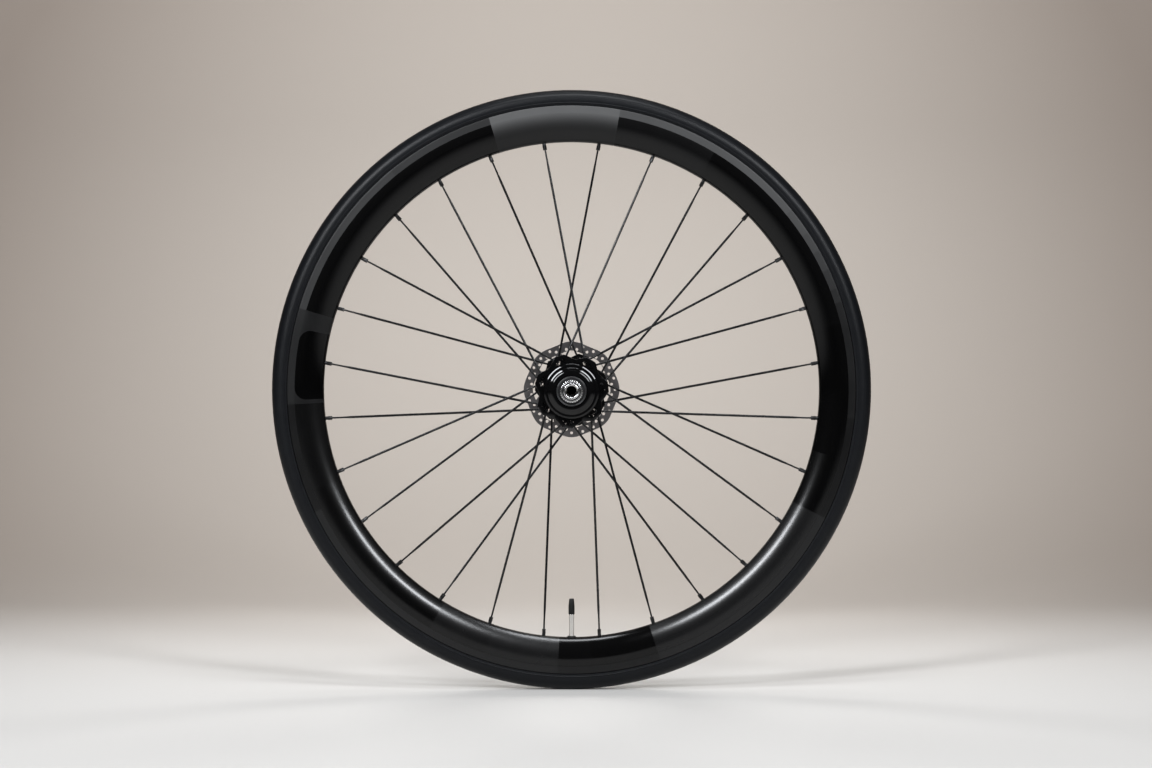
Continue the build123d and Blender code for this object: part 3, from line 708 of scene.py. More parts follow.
def window_panel(tree, place):
    """Mask of the black panel on the left, its outer corners rounded and its inner edge open to the nose."""
    from_middle = sums(tree, "SUBTRACT", place["Turn"], WINDOW_MIDDLE / 360)
    across = sums(tree, "ABSOLUTE", sums(tree, "MULTIPLY", from_middle, tau * WINDOW_RADIUS))
    side = sums(tree, "MAXIMUM", sums(tree, "SUBTRACT", across, WINDOW_HALF - WINDOW_CORNER), 0.0)
    beyond = sums(tree, "SUBTRACT", place["Radius"], WINDOW_OUTER - WINDOW_CORNER)
    top = sums(tree, "MAXIMUM", beyond, 0.0)
    return sums(tree, "LESS_THAN", sums(tree, "SQRT", squares(tree, side, top)), WINDOW_CORNER)


def choose(tree, test, first, second):
    """Number from the second input where a test is 1, from the first where it is 0."""
    away = sums(tree, "SUBTRACT", 1.0, test)
    return sums(tree, "MULTIPLY_ADD", second, test, sums(tree, "MULTIPLY", first, away))


def rim_carbon():
    """Moulded rim with lacquered, bare and pale panels, a band beside the tyre and a coat on the nose;
    painted reflection of the light from above pales the band over the top and, in part, the top panel.
    """
    shades = colours()
    gloss, matte, pale_and_sheen_tone = (tuple(tone) for tone in (shades.rim_gloss, shades.rim_matte, shades.rim_pale_and_painted_sheen))
    material = finish("rim_carbon", gloss, 0.2, shine=0.26, grain_size=0.8, bump=0.000008)
    tree = material.node_tree
    place = use(tree, wheel_place())
    turn, radius = place["Turn"], place["Radius"]
    on_band = sums(tree, "GREATER_THAN", radius, RIM_OUTER - BAND_HEIGHT)
    in_window = window_panel(tree, place)
    side = choose(tree, in_window, panel_ramp(tree, turn, PANELS), 0.0)
    side_rough = choose(tree, in_window, panel_ramp(tree, turn, PANELS, 2), WINDOW_ROUGHNESS)
    bare = choose(tree, on_band, side, panel_ramp(tree, turn, BAND_PANELS))
    stretched = {
        socket: sums(tree, "MULTIPLY", value, stretch)
        for socket, value, stretch in ((0, turn, 90.0), (1, radius, 0.9), (2, place["Along"], 0.9))
    }
    fibre = noise_at(tree, add(tree, "ShaderNodeCombineXYZ", stretched).outputs[0], detail=4.0)
    bare_tone = blend(tree, fibre, tuple(channel * 0.72 for channel in matte), matte)
    # Painted reflection of the light from above: the top panel grows pale outward and the band over the top
    # is paled
    outward = sums(tree, "POWER", ranged(tree, radius, *PAINTED_SHEEN_FADE), 1.6)
    pale_panel_sheen = sums(tree, "MULTIPLY", panel_ramp(tree, turn, PALE_PANEL_AND_SHEEN), outward)
    pale = choose(tree, on_band, pale_panel_sheen, panel_ramp(tree, turn, BAND_PANELS, 2))
    bare_tone = blend(tree, pale, bare_tone, pale_and_sheen_tone)
    feed(material, "Base Color", blend(tree, bare, gloss, bare_tone))
    cloud = ranged(tree, use(tree, grain(), Size=26.0, Contrast=2.2)["Value"], 0, 1, 0.9, 1.15)
    rough = choose(tree, on_band, side_rough, BAND_ROUGHNESS)
    feed(material, "Roughness", sums(tree, "MULTIPLY", rough, cloud))
    on_nose = ranged(tree, radius, *COAT_FADE, 1.0, 0.0)
    feed(material, "Coat Weight", sums(tree, "MULTIPLY", panel_ramp(tree, turn, COAT_PANELS), on_nose))
    shader_of(material).inputs["Coat Roughness"].default_value = COAT_ROUGHNESS
    return material


def rotor_steel():
    """Ground steel: fine rings on the track, pale and slightly warm."""
    steel = tuple(colours().rotor)
    material = finish("rotor_steel", steel, 0.34, metallic=1.0, bump=0.000006)
    tree = material.node_tree
    place = use(tree, wheel_place())
    stretched = {
        0: sums(tree, "MULTIPLY", place["Turn"], 30.0), 1: sums(tree, "MULTIPLY", place["Radius"], 7.0),
    }
    rings = noise_at(tree, add(tree, "ShaderNodeCombineXYZ", stretched).outputs[0])
    warm = (steel[0] * 0.82, steel[1] * 0.76, steel[2] * 0.74)
    heat = use(tree, grain(), Size=18.0, Contrast=1.8)["Value"]
    feed(material, "Base Color", blend(tree, sums(tree, "MULTIPLY", heat, rings), steel, warm))
    feed(material, "Roughness", ranged(tree, rings, 0, 1, 0.24, 0.44))
    relief = add(tree, "ShaderNodeBump", {"Strength": 0.5, "Distance": 0.00001, "Height": rings})
    feed(material, "Normal", relief.outputs[0])
    return material


# Plain finishes of record slots: colour, roughness, metallic and shine
PLAIN = {
    "nipple_black": ((0.010, 0.010, 0.011), 0.32, 0.4, 0.5),
    "spider_black": ((0.018, 0.018, 0.019), 0.36, 0.3, 0.5),
    "rivet_steel": ((0.60, 0.60, 0.59), 0.30, 1.0, 0.5),
    "bearing_steel": ((0.66, 0.66, 0.67), 0.12, 1.0, 0.5),
    "dull_alloy": ((0.13, 0.13, 0.133), 0.32, 1.0, 0.5),
    "seal_rubber": ((0.012, 0.012, 0.013), 0.55, 0.0, 0.3),
    "cage_nylon": ((0.74, 0.72, 0.65), 0.50, 0.0, 0.5),
    "tube_rubber": ((0.03, 0.03, 0.03), 0.60, 0.0, 0.4),
    "rim_tape": ((0.70, 0.62, 0.16), 0.45, 0.0, 0.5),
    "collar_rubber": ((0.010, 0.010, 0.010), 0.60, 0.0, 0.3),
}


def wheel_material(name):
    """Finish of a record slot, made once."""
    made = bpy.data.materials.get(f"{name}_finish")
    if made:
        return made
    shades = colours()
    makers = {
        "tyre_rubber": tyre_rubber,
        "rim_carbon": rim_carbon,
        "rotor_steel": rotor_steel,
        "hub_black": lambda: turned_finish("hub_black", shades.hub, 0.07, 0.0, 0.38, 0.35, 0.000001),
        "silver_alloy": lambda: turned_finish("silver_alloy", shades.silver, 0.16, 1.0, 0.5, 0.22, 0.000006),
        "valve_nickel": lambda: finish("valve_nickel", shades.valve, 0.16, 1.0, bump=0.000003, wear=0.1),
        "spoke_black": lambda: finish("spoke_black", shades.spoke, 0.28, shine=0.36, bump=0.000006),
        "cap_black": lambda: finish("cap_black", shades.plastic, 0.42, shine=0.3),
    }
    if name in makers:
        return makers[name]()
    return finish(name, *PLAIN[name])


# Section outlines


def arc(centre, radius, start, end, steps):
    """Points of an arc in a section, its angles in radians from the outward direction."""
    points = []
    for step in range(steps + 1):
        angle = start + (end - start) * step / steps
        points.append((centre[0] + radius * cos(angle), centre[1] + radius * sin(angle)))
    return points


def mirrored(half):
    """Closed outline from a half that starts and ends in the middle plane."""
    other = [(radius, -along) for radius, along in reversed(half) if abs(along) > 1e-6]
    return half + other


def rim_outline():
    """The rim's outside, each half from the nose round the side and the bead seat to the well."""
    nose_centre = RIM_NOSE + NOSE_RADIUS
    rise = RIM_WIDEST - nose_centre
    flank = (RIM_HALF**2 + rise**2 - NOSE_RADIUS**2) / (2 * (RIM_HALF - NOSE_RADIUS))
    drop = flank - RIM_HALF
    meet = atan2(drop, -rise)
    shoulder = RIM_OUTER - BAND_HEIGHT
    top = acos((shoulder - RIM_WIDEST) / flank)
    half = arc((nose_centre, 0), NOSE_RADIUS, pi, meet, 10)
    half += arc((RIM_WIDEST, -drop), flank, meet, top, 24)[1:]
    step = half[-1][1] - BAND_STEP
    half += [(shoulder, step)]
    edge = (RIM_OUTER - EDGE_ROUND, EDGE_HALF - EDGE_ROUND)
    rounded = arc(edge, EDGE_ROUND, pi / 2, 0, 5)
    up, out = rounded[0][0] - shoulder, rounded[0][1] - step
    half += [(shoulder + up * share, step + out * share) for share in (0.25, 0.5, 0.75)]
    half += rounded
    half += [
        (RIM_OUTER, BEAD_HALF), (BEAD_SEAT, BEAD_HALF), (BEAD_SEAT, WELL_HALF + WELL_SLOPE),
        (WELL_RADIUS, WELL_HALF), (WELL_RADIUS, 0),
    ]
    return mirrored(half)


def cavity_outline():
    """The hollow inside the rim."""
    side = RIM_HALF - SIDE_WALL
    rise = RIM_WIDEST - NIPPLE_SEAT
    centre = (side**2 - rise**2 - SPOKE_BED_HALF**2) / (2 * (side - SPOKE_BED_HALF))
    radius = side - centre
    start = pi / 2 + asin(rise / radius)
    end = pi / 2 - asin((CAVITY_TOP - RIM_WIDEST) / radius)
    wall = arc((RIM_WIDEST, centre), radius, start, end, 10)
    return mirrored([(NIPPLE_SEAT, 0)] + wall + [(CAVITY_TOP, 0)])


def tyre_outline(sizes):
    """The tyre's section: tread cap, sidewalls with a moulded line, beads and the hollow of the casing."""
    rise = CROWN - TYRE_EDGE
    radius = (TYRE_EDGE_HALF**2 + rise**2) / (2 * rise)
    centre = CROWN - radius
    end = atan2(TYRE_EDGE_HALF, TYRE_EDGE - centre)
    tread = sizes.tread_angle
    step = sizes.tread_step / MM
    line = sizes.rib_height / MM
    at_line = end - LINE_FROM_EDGE / radius
    keys = [(0.0, 0.0), (tread, 0.0), (tread + 0.02, -step)]
    keys += [(at_line - 0.05, -step), (at_line - 0.02, line - step), (at_line + 0.02, line - step)]
    keys += [(at_line + 0.05, -step), (end, -step)]
    half = []
    for (start, low), (stop, high) in zip(keys, keys[1:]):
        pieces = max(1, int(degrees(stop - start) / 3))
        for piece in range(pieces):
            share = piece / pieces
            reach = radius + low + (high - low) * share
            angle = start + (stop - start) * share
            half.append((centre + reach * cos(angle), reach * sin(angle)))
    half.append((TYRE_EDGE, TYRE_EDGE_HALF - step))
    bead = BEAD_HALF - BEAD_GAP
    foot = BEAD_SEAT + BEAD_GAP
    bead_inside = bead - BEAD_WIDTH
    half += [(TYRE_EDGE, bead), (foot, bead), (foot, bead_inside), (RIM_OUTER - EDGE_ROUND, bead_inside)]
    inner = radius - SIDEWALL
    crown = CROWN - TREAD
    for part in range(1, 13):
        angle = pi / 2 * part / 12
        half.append((centre + (crown - centre) * sin(angle), inner * cos(angle)))
    return mirrored(half)


# Spoke layout


def on_wheel(radius, angle, along=0.0):
    """Point at a polar place in the wheel's plane, in millimetres."""
    return Vector((radius * cos(radians(angle)), along, radius * sin(radians(angle))))


def rim_angle(place):
    """Angle of a spoke's nipple round the rim, in degrees."""
    return VALVE_ANGLE + 360 / SPOKES * (place + 0.5)


def spoke_frame(place):
    """Place and direction of a spoke, and its length from flange seat to nipple seat in millimetres."""
    side = 1 if place % 4 < 2 else -1
    flange = RIGHT_FLANGE if place % 2 == 0 else LEFT_FLANGE
    at_rim = rim_angle(place)
    run = at_rim - side * degrees(asin(SPOKE_OFFSET / NIPPLE_SEAT))
    seat = on_wheel(SPOKE_OFFSET, run + side * 90) + on_wheel(SEAT_DISTANCE, run)
    seat += Vector((0, flange + side * SPOKE_STAGGER, 0))
    way = on_wheel(NIPPLE_SEAT, at_rim) - seat
    along = way.normalized()
    across = Vector((0, 1, 0)).cross(along).normalized()
    thick = along.cross(across)
    turn = Matrix((across, thick, along)).transposed().to_4x4()
    return seat, turn, way.length


def on_spoke(seat, turn, reach):
    """Place on a spoke's line for a piece drawn along Z, at a distance from the flange seat."""
    return Matrix.Translation(seat * MM) @ turn @ Matrix.Translation((0, 0, reach * MM))


def settle(piece, seat, turn, reach, twist):
    """Piece moved on to a spoke's line and turned about it."""
    piece.matrix_world = on_spoke(seat, turn, reach) @ Matrix.Rotation(twist, 4, "Z")
    fix_place(piece)


def own_copy(piece, name):
    """Copy of a piece with its own mesh."""
    copied = bpy.data.objects.new(name, piece.data.copy())
    bpy.context.scene.collection.objects.link(copied)
    return copied


def drop(piece):
    """Pattern piece taken out of the scene."""
    bpy.data.objects.remove(piece)


# Operators


class WHEEL_OT_tyre(bpy.types.Operator):
    """Turn the tyre with its tread cap and moulded sidewall line"""

    bl_idname = "wheel.tyre"
    bl_label = "Tyre"

    def execute(self, context):
        sizes = shape()
        tyre = turned("slick_tyre", tyre_outline(sizes), sizes.ring_steps, angle=TYRE_SMOOTH)
        put(tyre, wheel_material("tyre_rubber"), WHEEL, "tyre_rubber", "tyre")
        dress("inner_tube", wheel_material("tube_rubber"))
        dress("rim_tape", wheel_material("rim_tape"))
        return {"FINISHED"}


class WHEEL_OT_rim(bpy.types.Operator):
    """Turn the hollow rim and drill it for nipples and valve"""

    bl_idname = "wheel.rim"
    bl_label = "Rim"

    def drill(self, name, radius, depth, matrix):
        """Drill for one hole, set on the hole's line."""
        deselect()
        bpy.ops.mesh.primitive_cylinder_add(vertices=DRILL_SIDES, radius=radius * MM, depth=depth * MM)
        drill = named(name)
        drill.matrix_world = matrix
        fix_place(drill)
        return drill

    def execute(self, context):
        steps = shape().ring_steps
        rim = turned("deep_rim", rim_outline(), steps)
        hollow = turned("rim_hollow", cavity_outline(), steps, flip=True)
        rim = join([hollow, rim])
        drills = []
        for place in range(SPOKES):
            seat, turn, run = spoke_frame(place)
            nipple_line = on_spoke(seat, turn, run - NIPPLE_DRILL_BACK)
            drills.append(self.drill("nipple_drill", NIPPLE_HOLE, NIPPLE_DRILL, nipple_line))
            outward = on_wheel(1, rim_angle(place))
            upright = outward.to_track_quat("Z", "Y").to_matrix().to_4x4()
            bed = Matrix.Translation(outward * (CAVITY_TOP + WELL_RADIUS) / 2 * MM) @ upright
            drills.append(self.drill("access_drill", ACCESS_HOLE, ACCESS_DRILL, bed))
        stem_line = Matrix.Translation((0, 0, -(RIM_NOSE + WELL_RADIUS) / 2 * MM))
        drills.append(self.drill("stem_drill", STEM_HOLE, STEM_DRILL, stem_line))
        tool = join(drills)
        apply_modifier(rim, "BOOLEAN", operation="DIFFERENCE", solver="EXACT", object=tool)
        drop(tool)
        smooth(rim)
        put(rim, wheel_material("rim_carbon"), WHEEL, "rim_carbon", "rim")
        return {"FINISHED"}


class WHEEL_OT_hub(bpy.types.Operator):
    """Finish the hub shell, its dust ring and the bearings"""

    bl_idname = "wheel.hub"
    bl_label = "Hub"

    def dome_outline(self):
        """Section of the dome from its mouth over two soft steps and a rim to the flange."""
        foot = FLANGE_FACE + DOME_FOOT
        outline = [(DOME_INNER, foot), (DOME_INNER, DOME_TOP), (DOME_SLOPES[0][0], DOME_TOP)]
        for (start, low), (end, high) in zip(DOME_SLOPES, DOME_SLOPES[1:]):
            stretch = (end - start) / DOME_STEPS
            for step in range(DOME_STEPS):
                slope = radians(low + (high - low) * (step + 0.5) / DOME_STEPS)
                radius, along = outline[-1]
                outline.append((radius + stretch, along + stretch * tan(slope)))
        return outline + [(outline[-1][0], foot)]

    def shell(self):
        """The solid's shell with its right dome turned afresh."""
        shell = cad_copy("hub_shell", "lobed_hub", HUB_SMOOTH)
        inner, outer, top, floor = DOME_INNER, DOME_CUT_RADIUS, DOME_CUT_TOP, FLANGE_FACE + DOME_CUT_ABOVE
        section = [(inner, top), (outer, top), (outer, floor), (inner, floor)]
        cutter = turned("dome_cutter", section, SMALL_RING_STEPS)
        apply_modifier(shell, "BOOLEAN", operation="DIFFERENCE", solver="EXACT", object=cutter)
        drop(cutter)
        flat_faces(shell, HUB_SMOOTH)
        dome = turned("hub_dome", self.dome_outline(), shape().ring_steps, angle=DOME_SMOOTH)
        return join([dome, shell])

    def ring_outline(self):
        """Half-round section of the dust ring."""
        inner, outer = DUST_RING
        half = (outer - inner) / 2
        face = arc((inner + half, DOME_TOP + half), half, 0, -pi, 10)
        return face + [(inner, DUST_RING_BACK), (outer, DUST_RING_BACK)]

    def execute(self, context):
        put(self.shell(), wheel_material("hub_black"), WHEEL, "hub_black", "hub_shell")
        ring = turned("bright_dust_ring", self.ring_outline(), SMALL_RING_STEPS)
        put(ring, wheel_material("dull_alloy"), WHEEL, "silver_alloy", "right_dust_ring")
        dress("right_lip_seal", wheel_material("seal_rubber"))
        tube = cad_copy("axle", "axle_tube")
        put(tube, wheel_material("silver_alloy"), AXLE, "silver_alloy", "axle")
        for side in ("right", "left"):
            for piece, material in (
                ("inner_ring", "bearing_steel"), ("outer_ring", "bearing_steel"), ("balls", "bearing_steel"),
                ("cage", "cage_nylon"), ("seals", "seal_rubber"),
            ):
                dress(f"{side}_bearing_{piece}", wheel_material(material))
        return {"FINISHED"}


class WHEEL_OT_end_caps(bpy.types.Operator):
    """Finish the end caps with grooves round their grip rings"""

    bl_idname = "wheel.end_caps"
    bl_label = "End caps"

    def outline(self, bearing_face):
        """Section of an end cap from its bearing to its nose."""
        side = 1 if bearing_face > 0 else -1
        return [
            (AXLE_SOCKET, bearing_face), (CAP_NECK, bearing_face), (CAP_NECK, side * CAP_RING_BACK),
            (CAP_RING, side * CAP_RING_BACK),
            *((CAP_RING - inset, side * (CAP_RING_TOP - drop)) for inset, drop in CAP_CREST),
            (CAP_GROOVE, side * CAP_GROOVE_FLOOR), (CAP_NOSE, side * CAP_GROOVE_FLOOR),
            *((CAP_NOSE - inset, side * (END_FACE - drop)) for inset, drop in CAP_LIP),
            (AXLE_BORE, side * AXLE_STOP), (AXLE_SOCKET, side * AXLE_STOP),
        ]

    def in_knurl(self, at):
        """Whether a point lies in one of the grooves round the grip ring."""
        in_wave = cos(shape().knurl_count * atan2(at.z, at.x)) > KNURL_FROM
        return in_wave and hypot(at.x, at.z) > CAP_RING - KNURL_REACH

    def execute(self, context):
        sizes = shape()
        for side, bearing_face in BEARING_FACES.items():
            cap = turned(f"{side}_grip_cap", self.outline(bearing_face), 6 * sizes.knurl_count)
            pinch(cap, 1 - sizes.knurl_depth / MM / CAP_RING, self.in_knurl)
            put(cap, wheel_material("silver_alloy"), AXLE, "silver_alloy", f"{side}_end_cap")
            way = 1 if bearing_face > 0 else -1
            middle = ((CAP_NOSE + CAP_GROOVE) / 2, way * (CAP_GROOVE_FLOOR + GROOVE_RING_LIFT))
            ring = turned(f"{side}_groove_ring", arc(middle, GROOVE_RING, 0, tau, 10)[:-1], 64)
            put(ring, wheel_material("seal_rubber"), AXLE, "seal_rubber")
        return {"FINISHED"}


class WHEEL_OT_spokes(bpy.types.Operator):
    """Draw the bladed spokes and lay them from flange to rim"""

    bl_idname = "wheel.spokes"
    bl_label = "Spokes"

    def rings(self, run):
        """Rings of one spoke: head, round butt, blade and threaded end."""
        head = -SEAT_CLEAR
        end = run + NIPPLE_HEAD / 2
        thread = end - THREAD_LENGTH
        return [
            (head - 1.7, 1.05, 1.05), (head - 0.85, SPOKE_HEAD, SPOKE_HEAD), (head, SPOKE_HEAD, SPOKE_HEAD),
            (head + 0.01, SPOKE_BUTT, SPOKE_BUTT), (12, SPOKE_BUTT, SPOKE_BUTT), (15, 1.2, 0.98),
            (19, 1.27, 0.68), (24, BLADE_HALF, BLADE_THICK_HALF), (thread - 12, BLADE_HALF, BLADE_THICK_HALF),
            (thread - 7, 1.2, 0.68), (thread - 3, 1.06, 0.9), (thread, THREAD_RADIUS, THREAD_RADIUS),
            (end, THREAD_RADIUS, THREAD_RADIUS),
        ]

    def execute(self, context):
        for first in range(4):
            pattern = drawn_rod("spoke_pattern", self.rings(spoke_frame(first)[2]), 16, 40)
            for place in range(first, SPOKES, 4):
                seat, turn, run = spoke_frame(place)
                spoke = own_copy(pattern, f"bladed_spoke_{place + 1:02d}")
                twist = shape().blade_twist * TURNED_BLADES.get(place, OTHER_BLADES)
                settle(spoke, seat, turn, 0.0, twist)
                put(spoke, wheel_material("spoke_black"), WHEEL, "spoke_black", f"spoke_{place + 1:02d}")
            drop(pattern)
        return {"FINISHED"}


class WHEEL_OT_nipples(bpy.types.Operator):
    """Model one nipple with its flats and set a copy at each spoke's end"""

    bl_idname = "wheel.nipples"
    bl_label = "Nipples"

    def pattern(self):
        """Nipple along Z, its seat at the origin and its flats towards the hub."""
        lift = NIPPLE_HOLE * -RIGHT_FLANGE / NIPPLE_SEAT
        rings = [
            (NIPPLE_FLATS_TOP, NIPPLE_ROUND - 0.25), (NIPPLE_FLATS_TOP + 0.25, NIPPLE_ROUND),
            (lift, NIPPLE_ROUND), (lift + 1.1, NIPPLE_HEAD_RADIUS), (lift + 2.3, NIPPLE_HEAD_RADIUS),
            (lift + NIPPLE_HEAD, NIPPLE_HEAD_RADIUS - 0.3),
        ]
        body = drawn_rod("nipple_round", [(place, radius, radius) for place, radius in rings])
        top = NIPPLE_FLATS_TOP + 0.2
        deselect()
        bpy.ops.mesh.primitive_cube_add(size=1, location=(0, 0, (NIPPLE_END + top) / 2 * MM))
        flats = named("nipple_flats")
        flats.scale = (NIPPLE_FLATS * MM, NIPPLE_FLATS * MM, (top - NIPPLE_END) * MM)
        fix_place(flats)
        edit_all(flats)
        bpy.ops.mesh.bevel(offset=NIPPLE_FLATS_EDGE * MM, segments=2, affect="EDGES")
        mode("OBJECT")
        return join([smooth(flats), body])

    def execute(self, context):
        pattern = self.pattern()
        copies = []
        for place in range(SPOKES):
            seat, turn, run = spoke_frame(place)
            nipple = own_copy(pattern, f"nipple_copy_{place + 1:02d}")
            twist = NIPPLE_TURN + place * NIPPLE_TURN_STEP % NIPPLE_TURN_RANGE
            settle(nipple, seat, turn, run, radians(twist))
            copies.append(nipple)
        drop(pattern)
        nipples = join(copies)
        nipples.name = "nipples"
        put(nipples, wheel_material("nipple_black"), WHEEL, "nipple_black", "spoke_nipples")
        return {"FINISHED"}


class WHEEL_OT_rotor(bpy.types.Operator):
    """Finish the brake rotor, its spider, rivets and lockring"""

    bl_idname = "wheel.rotor"
    bl_label = "Brake rotor"

    def execute(self, context):
        for node, name, material in (
            ("brake_rotor", "steel_rotor", "rotor_steel"),
            ("rotor_spider", "black_spider", "spider_black"),
            ("rotor_rivets", "spider_rivets", "rivet_steel"),
            ("rotor_lockring", "black_lockring", "spider_black"),
        ):
            put(cad_copy(node, name), wheel_material(material), WHEEL, material, node)
        return {"FINISHED"}


class WHEEL_OT_valve(bpy.types.Operator):
    """Finish the valve, its collar and its cap"""

    bl_idname = "wheel.valve"
    bl_label = "Valve"

    def cap_outline(self):
        """Section of the valve cap from its open base to its tip."""
        base = -VALVE_CAP_BASE
        tip = -VALVE_CAP_TIP
        taper = base + VALVE_CAP_TAPER
        return [
            (VALVE_CAP_BORE, base), (VALVE_CAP_RADIUS - 0.35, base), (VALVE_CAP_RADIUS, base + 1),
            (VALVE_CAP_RADIUS, base + 1.4), (VALVE_CAP_RADIUS, base + 1.9), (VALVE_CAP_RADIUS, taper - 0.9),
            (VALVE_CAP_RADIUS, taper - 0.4), (VALVE_CAP_RADIUS, taper), (VALVE_CAP_TIP_RADIUS, tip - 0.7),
            (VALVE_CAP_TIP_RADIUS - 0.25, tip - 0.2), (VALVE_CAP_TIP_RADIUS - 0.7, tip), (0, tip),
            (0, tip - VALVE_CAP_TIP_WALL), (VALVE_CAP_TIP_RADIUS - 0.7, tip - VALVE_CAP_TIP_WALL),
            (VALVE_CAP_BORE, -VALVE_CORE_END),
        ]

    def in_flute(self, at):
        """Whether a point lies in one of the flutes, between the cap's base and its taper."""
        base = -VALVE_CAP_BASE
        in_wave = cos(shape().flute_count * atan2(at.y, at.x)) > FLUTE_FROM
        in_reach = base + 1.5 < at.z < base + VALVE_CAP_TAPER - 0.5
        return in_wave and in_reach and hypot(at.x, at.y) > FLUTE_SKIN

    def execute(self, context):
        for node, name, material in (
            ("valve_stem", "plated_stem", "valve_nickel"),
            ("valve_core", "plated_valve_core", "valve_nickel"),
            ("valve_pin", "plated_valve_pin", "valve_nickel"),
            ("valve_lock_nut", "plated_valve_lock_nut", "valve_nickel"),
            ("valve_collar", "stem_collar", "collar_rubber"),
        ):
            put(cad_copy(node, name), wheel_material(material), WHEEL, material, node)
        cap = turned("barrel_cap", self.cap_outline(), 6 * shape().flute_count, upright=True)
        pinch(cap, FLUTE_LEFT, self.in_flute, upright=True)
        put(cap, wheel_material("cap_black"), "valve_cap", "cap_black", "valve_cap")
        return {"FINISHED"}


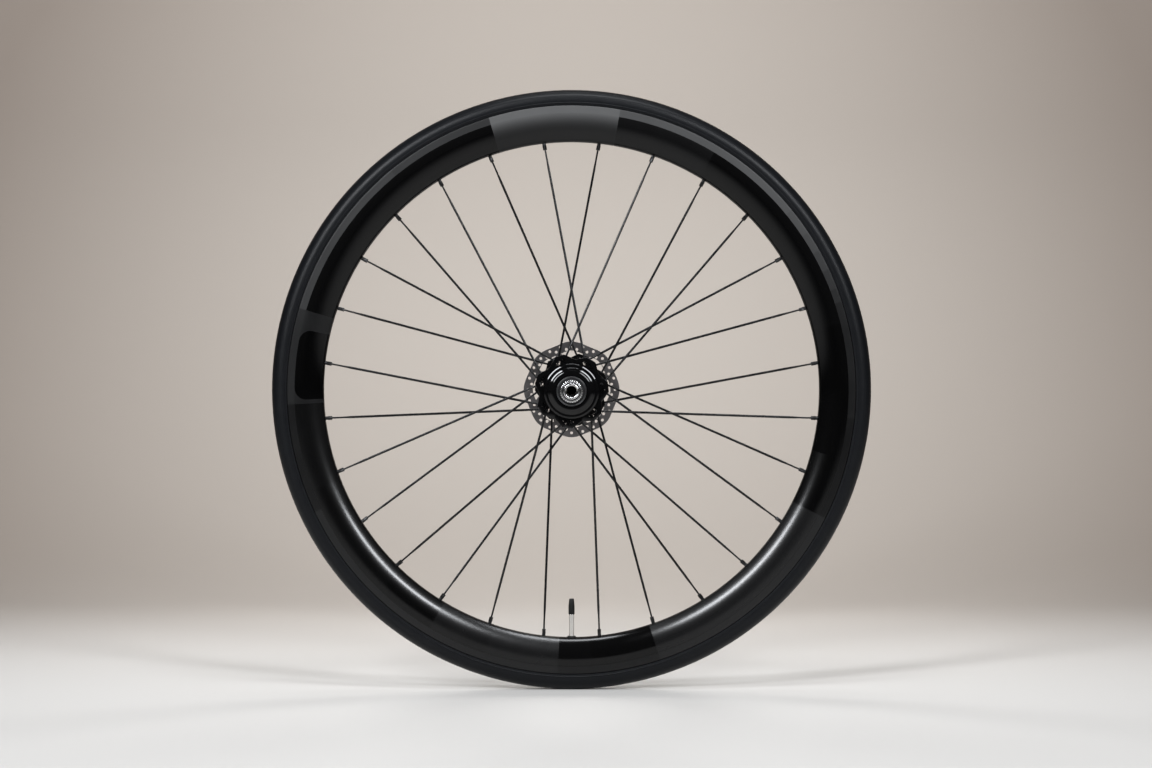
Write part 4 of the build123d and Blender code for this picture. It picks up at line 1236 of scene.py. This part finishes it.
class WHEEL_OT_stage(bpy.types.Operator):
    """Set the floor, backdrop, soft light and camera"""

    bl_idname = "wheel.stage"
    bl_label = "Stage"

    def pick_edges(self, piece, test):
        """Edit mode with the edges selected whose ends pass a test."""
        mode("EDIT")
        bpy.ops.mesh.select_mode(type="EDGE")
        bpy.ops.mesh.select_all(action="DESELECT")
        mode("OBJECT")
        for edge in piece.data.edges:
            edge.select = all(test(piece.data.vertices[end].co) for end in edge.vertices)
        mode("EDIT")

    def backdrop(self, stage):
        """Floor that curves up into the wall."""
        low = CAD_BOX[0].z
        deselect()
        bpy.ops.mesh.primitive_plane_add(size=1, location=(0, 0, 0))
        sweep = named("studio_sweep")
        sweep.scale = SWEEP_SIZE
        sweep.location = (0, SWEEP_MIDDLE, low)
        fix_place(sweep)
        far = max(vertex.co.y for vertex in sweep.data.vertices)
        self.pick_edges(sweep, lambda end: abs(end.y - far) < 1e-4)
        bpy.ops.mesh.extrude_edges_move(TRANSFORM_OT_translate={"value": (0, 0, SWEEP_RISE)})
        self.pick_edges(sweep, lambda end: abs(end.y - far) < 1e-4 and abs(end.z - low) < 1e-4)
        bpy.ops.mesh.bevel(offset=SWEEP_BEND, segments=SWEEP_BEND_STEPS, affect="EDGES")
        mode("OBJECT")
        bpy.ops.object.shade_smooth()
        edit_all(sweep)
        bpy.ops.mesh.normals_make_consistent(inside=False)
        mode("OBJECT")
        if min(sweep.data.polygons, key=lambda face: face.center.z).normal.z < 0:
            mode("EDIT")
            bpy.ops.mesh.flip_normals()
            mode("OBJECT")
        sweep.data.materials.append(self.paper(stage, far))

    def paper(self, stage, far):
        """Pale paper that turns warm grey up the wall, with painted shade darker to the wall's sides and on
        the floor far in front, and isn't seen from behind.
        """
        material = bpy.data.materials.new("studio_paper")
        material.use_nodes = True
        tree = material.node_tree
        place = add(tree, "ShaderNodeTexCoord").outputs["Object"]
        across, back, up = add(tree, "ShaderNodeSeparateXYZ", {0: place}).outputs
        share = ranged(tree, back, WALL_FROM, far - WALL_BEFORE_END, interpolation_type="SMOOTHSTEP")
        # Painted shade, darker towards the wall's sides
        outer = ranged(tree, squares(tree, across, up), 0.0, WALL_SHADE_FADE)
        wall = blend(tree, outer, tuple(stage.wall), tuple(stage.wall_edge_painted_shade))
        # Painted shade, darker on the floor far in front
        floor = blend(tree, ranged(tree, back, *FLOOR_SHADE_FADE), tuple(stage.floor), tuple(stage.floor_far_painted_shade))
        feed(material, "Base Color", blend(tree, share, floor, wall))
        shader = shader_of(material)
        shader.inputs["Roughness"].default_value = 0.8
        shader.inputs["Specular IOR Level"].default_value = 0.2
        behind = add(tree, "ShaderNodeNewGeometry").outputs["Backfacing"]
        clear = add(tree, "ShaderNodeBsdfTransparent").outputs[0]
        seen = add(tree, "ShaderNodeMixShader", {0: behind, 1: shader.outputs[0], 2: clear}).outputs[0]
        tree.links.new(seen, tree.nodes["Material Output"].inputs["Surface"])
        return material

    def peg(self):
        """Dark peg of the studio stand in the far half of the axle bore."""
        peg = turned("stand_peg", list(STAND_PEG), 32)
        peg.data.materials.append(finish("peg_black", (0.004, 0.004, 0.004), 0.8, shine=0.1))

    def lamp(self, name, box, power, side=1, tint=(1, 1, 1), spread=180, aim=(0, 0, 0)):
        """Soft box that faces the wheel or another place, its long side across the line from there."""
        (across, back, up), size = box
        place = Vector((side * across, back, up))
        bpy.ops.object.light_add(type="AREA", location=place)
        lamp = bpy.context.object
        lamp.name = name
        lamp.data.shape = "RECTANGLE"
        lamp.data.size, lamp.data.size_y = size
        lamp.data.energy = power
        lamp.data.color = tint
        lamp.data.spread = radians(spread)
        away = (place - Vector(aim)).normalized()
        level = Vector((0, 1, 0)).cross(away).normalized()
        lamp.rotation_euler = Matrix((level, away.cross(level), away)).transposed().to_euler()
        return lamp

    def execute(self, context):
        stage = context.scene.wheel_stage
        self.backdrop(stage)
        self.peg()
        for side, power in ((-1, stage.left_box), (1, stage.right_box)):
            self.lamp("front_box", FRONT_BOX, power, side, COOL_LIGHT)
            # Seen in the tyre's gloss, a rear box would draw a white line along its top
            self.lamp("rear_box", REAR_BOX, stage.rear_boxes, side, spread=REAR_SPREAD).visible_glossy = False
        self.lamp("top_box", TOP_BOX, stage.top_box, tint=COOL_LIGHT)
        self.lamp("wall_box", WALL_BOX, stage.wall_box, spread=WALL_SPREAD, aim=WALL_BOX_AIM)
        world = bpy.data.worlds.new("studio_room")
        context.scene.world = world
        world.use_nodes = True
        room = world.node_tree.nodes["Background"]
        room.inputs["Color"].default_value = ROOM_LIGHT
        room.inputs["Strength"].default_value = stage.world
        aim = Vector((CAMERA_SIDE, 0, CAMERA_AIM_HEIGHT))
        place = Vector((CAMERA_SIDE, -stage.distance, stage.height))
        bpy.ops.object.camera_add(location=place)
        camera = context.object
        camera.name = "photo_camera"
        camera.data.lens = stage.lens
        camera.data.sensor_width = 36
        camera.data.clip_end = 50
        camera.rotation_euler = (aim - place).to_track_quat("-Z", "Y").to_euler()
        context.scene.camera = camera
        context.scene.view_settings.view_transform = "Standard"
        return {"FINISHED"}


STEPS = (
    WHEEL_OT_tyre, WHEEL_OT_rim, WHEEL_OT_hub, WHEEL_OT_end_caps, WHEEL_OT_spokes, WHEEL_OT_nipples,
    WHEEL_OT_rotor, WHEEL_OT_valve, WHEEL_OT_stage,
)
GROUPS = (("wheel_shape", WheelShape), ("wheel_colours", WheelColours), ("wheel_stage", WheelStage))


class WHEEL_PT_panel(bpy.types.Panel):
    """Steps and settings of the wheel."""

    bl_idname = "WHEEL_PT_panel"
    bl_label = "Road disc wheel"
    bl_space_type = "VIEW_3D"
    bl_region_type = "UI"
    bl_category = "Wheel"

    def draw(self, context):
        for step in STEPS:
            self.layout.operator(step.bl_idname)
        for name, kind in GROUPS:
            box = self.layout.box()
            for setting in kind.__annotations__:
                box.prop(getattr(context.scene, name), setting)


def register():
    """Classes and settings made known to Blender."""
    for kind in (*dict(GROUPS).values(), *STEPS, WHEEL_PT_panel):
        bpy.utils.register_class(kind)
    for name, kind in GROUPS:
        setattr(bpy.types.Scene, name, PointerProperty(type=kind))


def unregister():
    """Settings and classes taken out again."""
    for name, kind in GROUPS:
        delattr(bpy.types.Scene, name)
    for kind in (WHEEL_PT_panel, *reversed(STEPS), *dict(GROUPS).values()):
        bpy.utils.unregister_class(kind)


def main():
    """The wheel on its stage."""
    register()
    bpy.ops.wheel.tyre()
    bpy.ops.wheel.rim()
    bpy.ops.wheel.hub()
    bpy.ops.wheel.end_caps()
    bpy.ops.wheel.spokes()
    bpy.ops.wheel.nipples()
    bpy.ops.wheel.rotor()
    bpy.ops.wheel.valve()
    bpy.ops.wheel.stage()
    deselect()


if __name__ == "__main__":
    main()
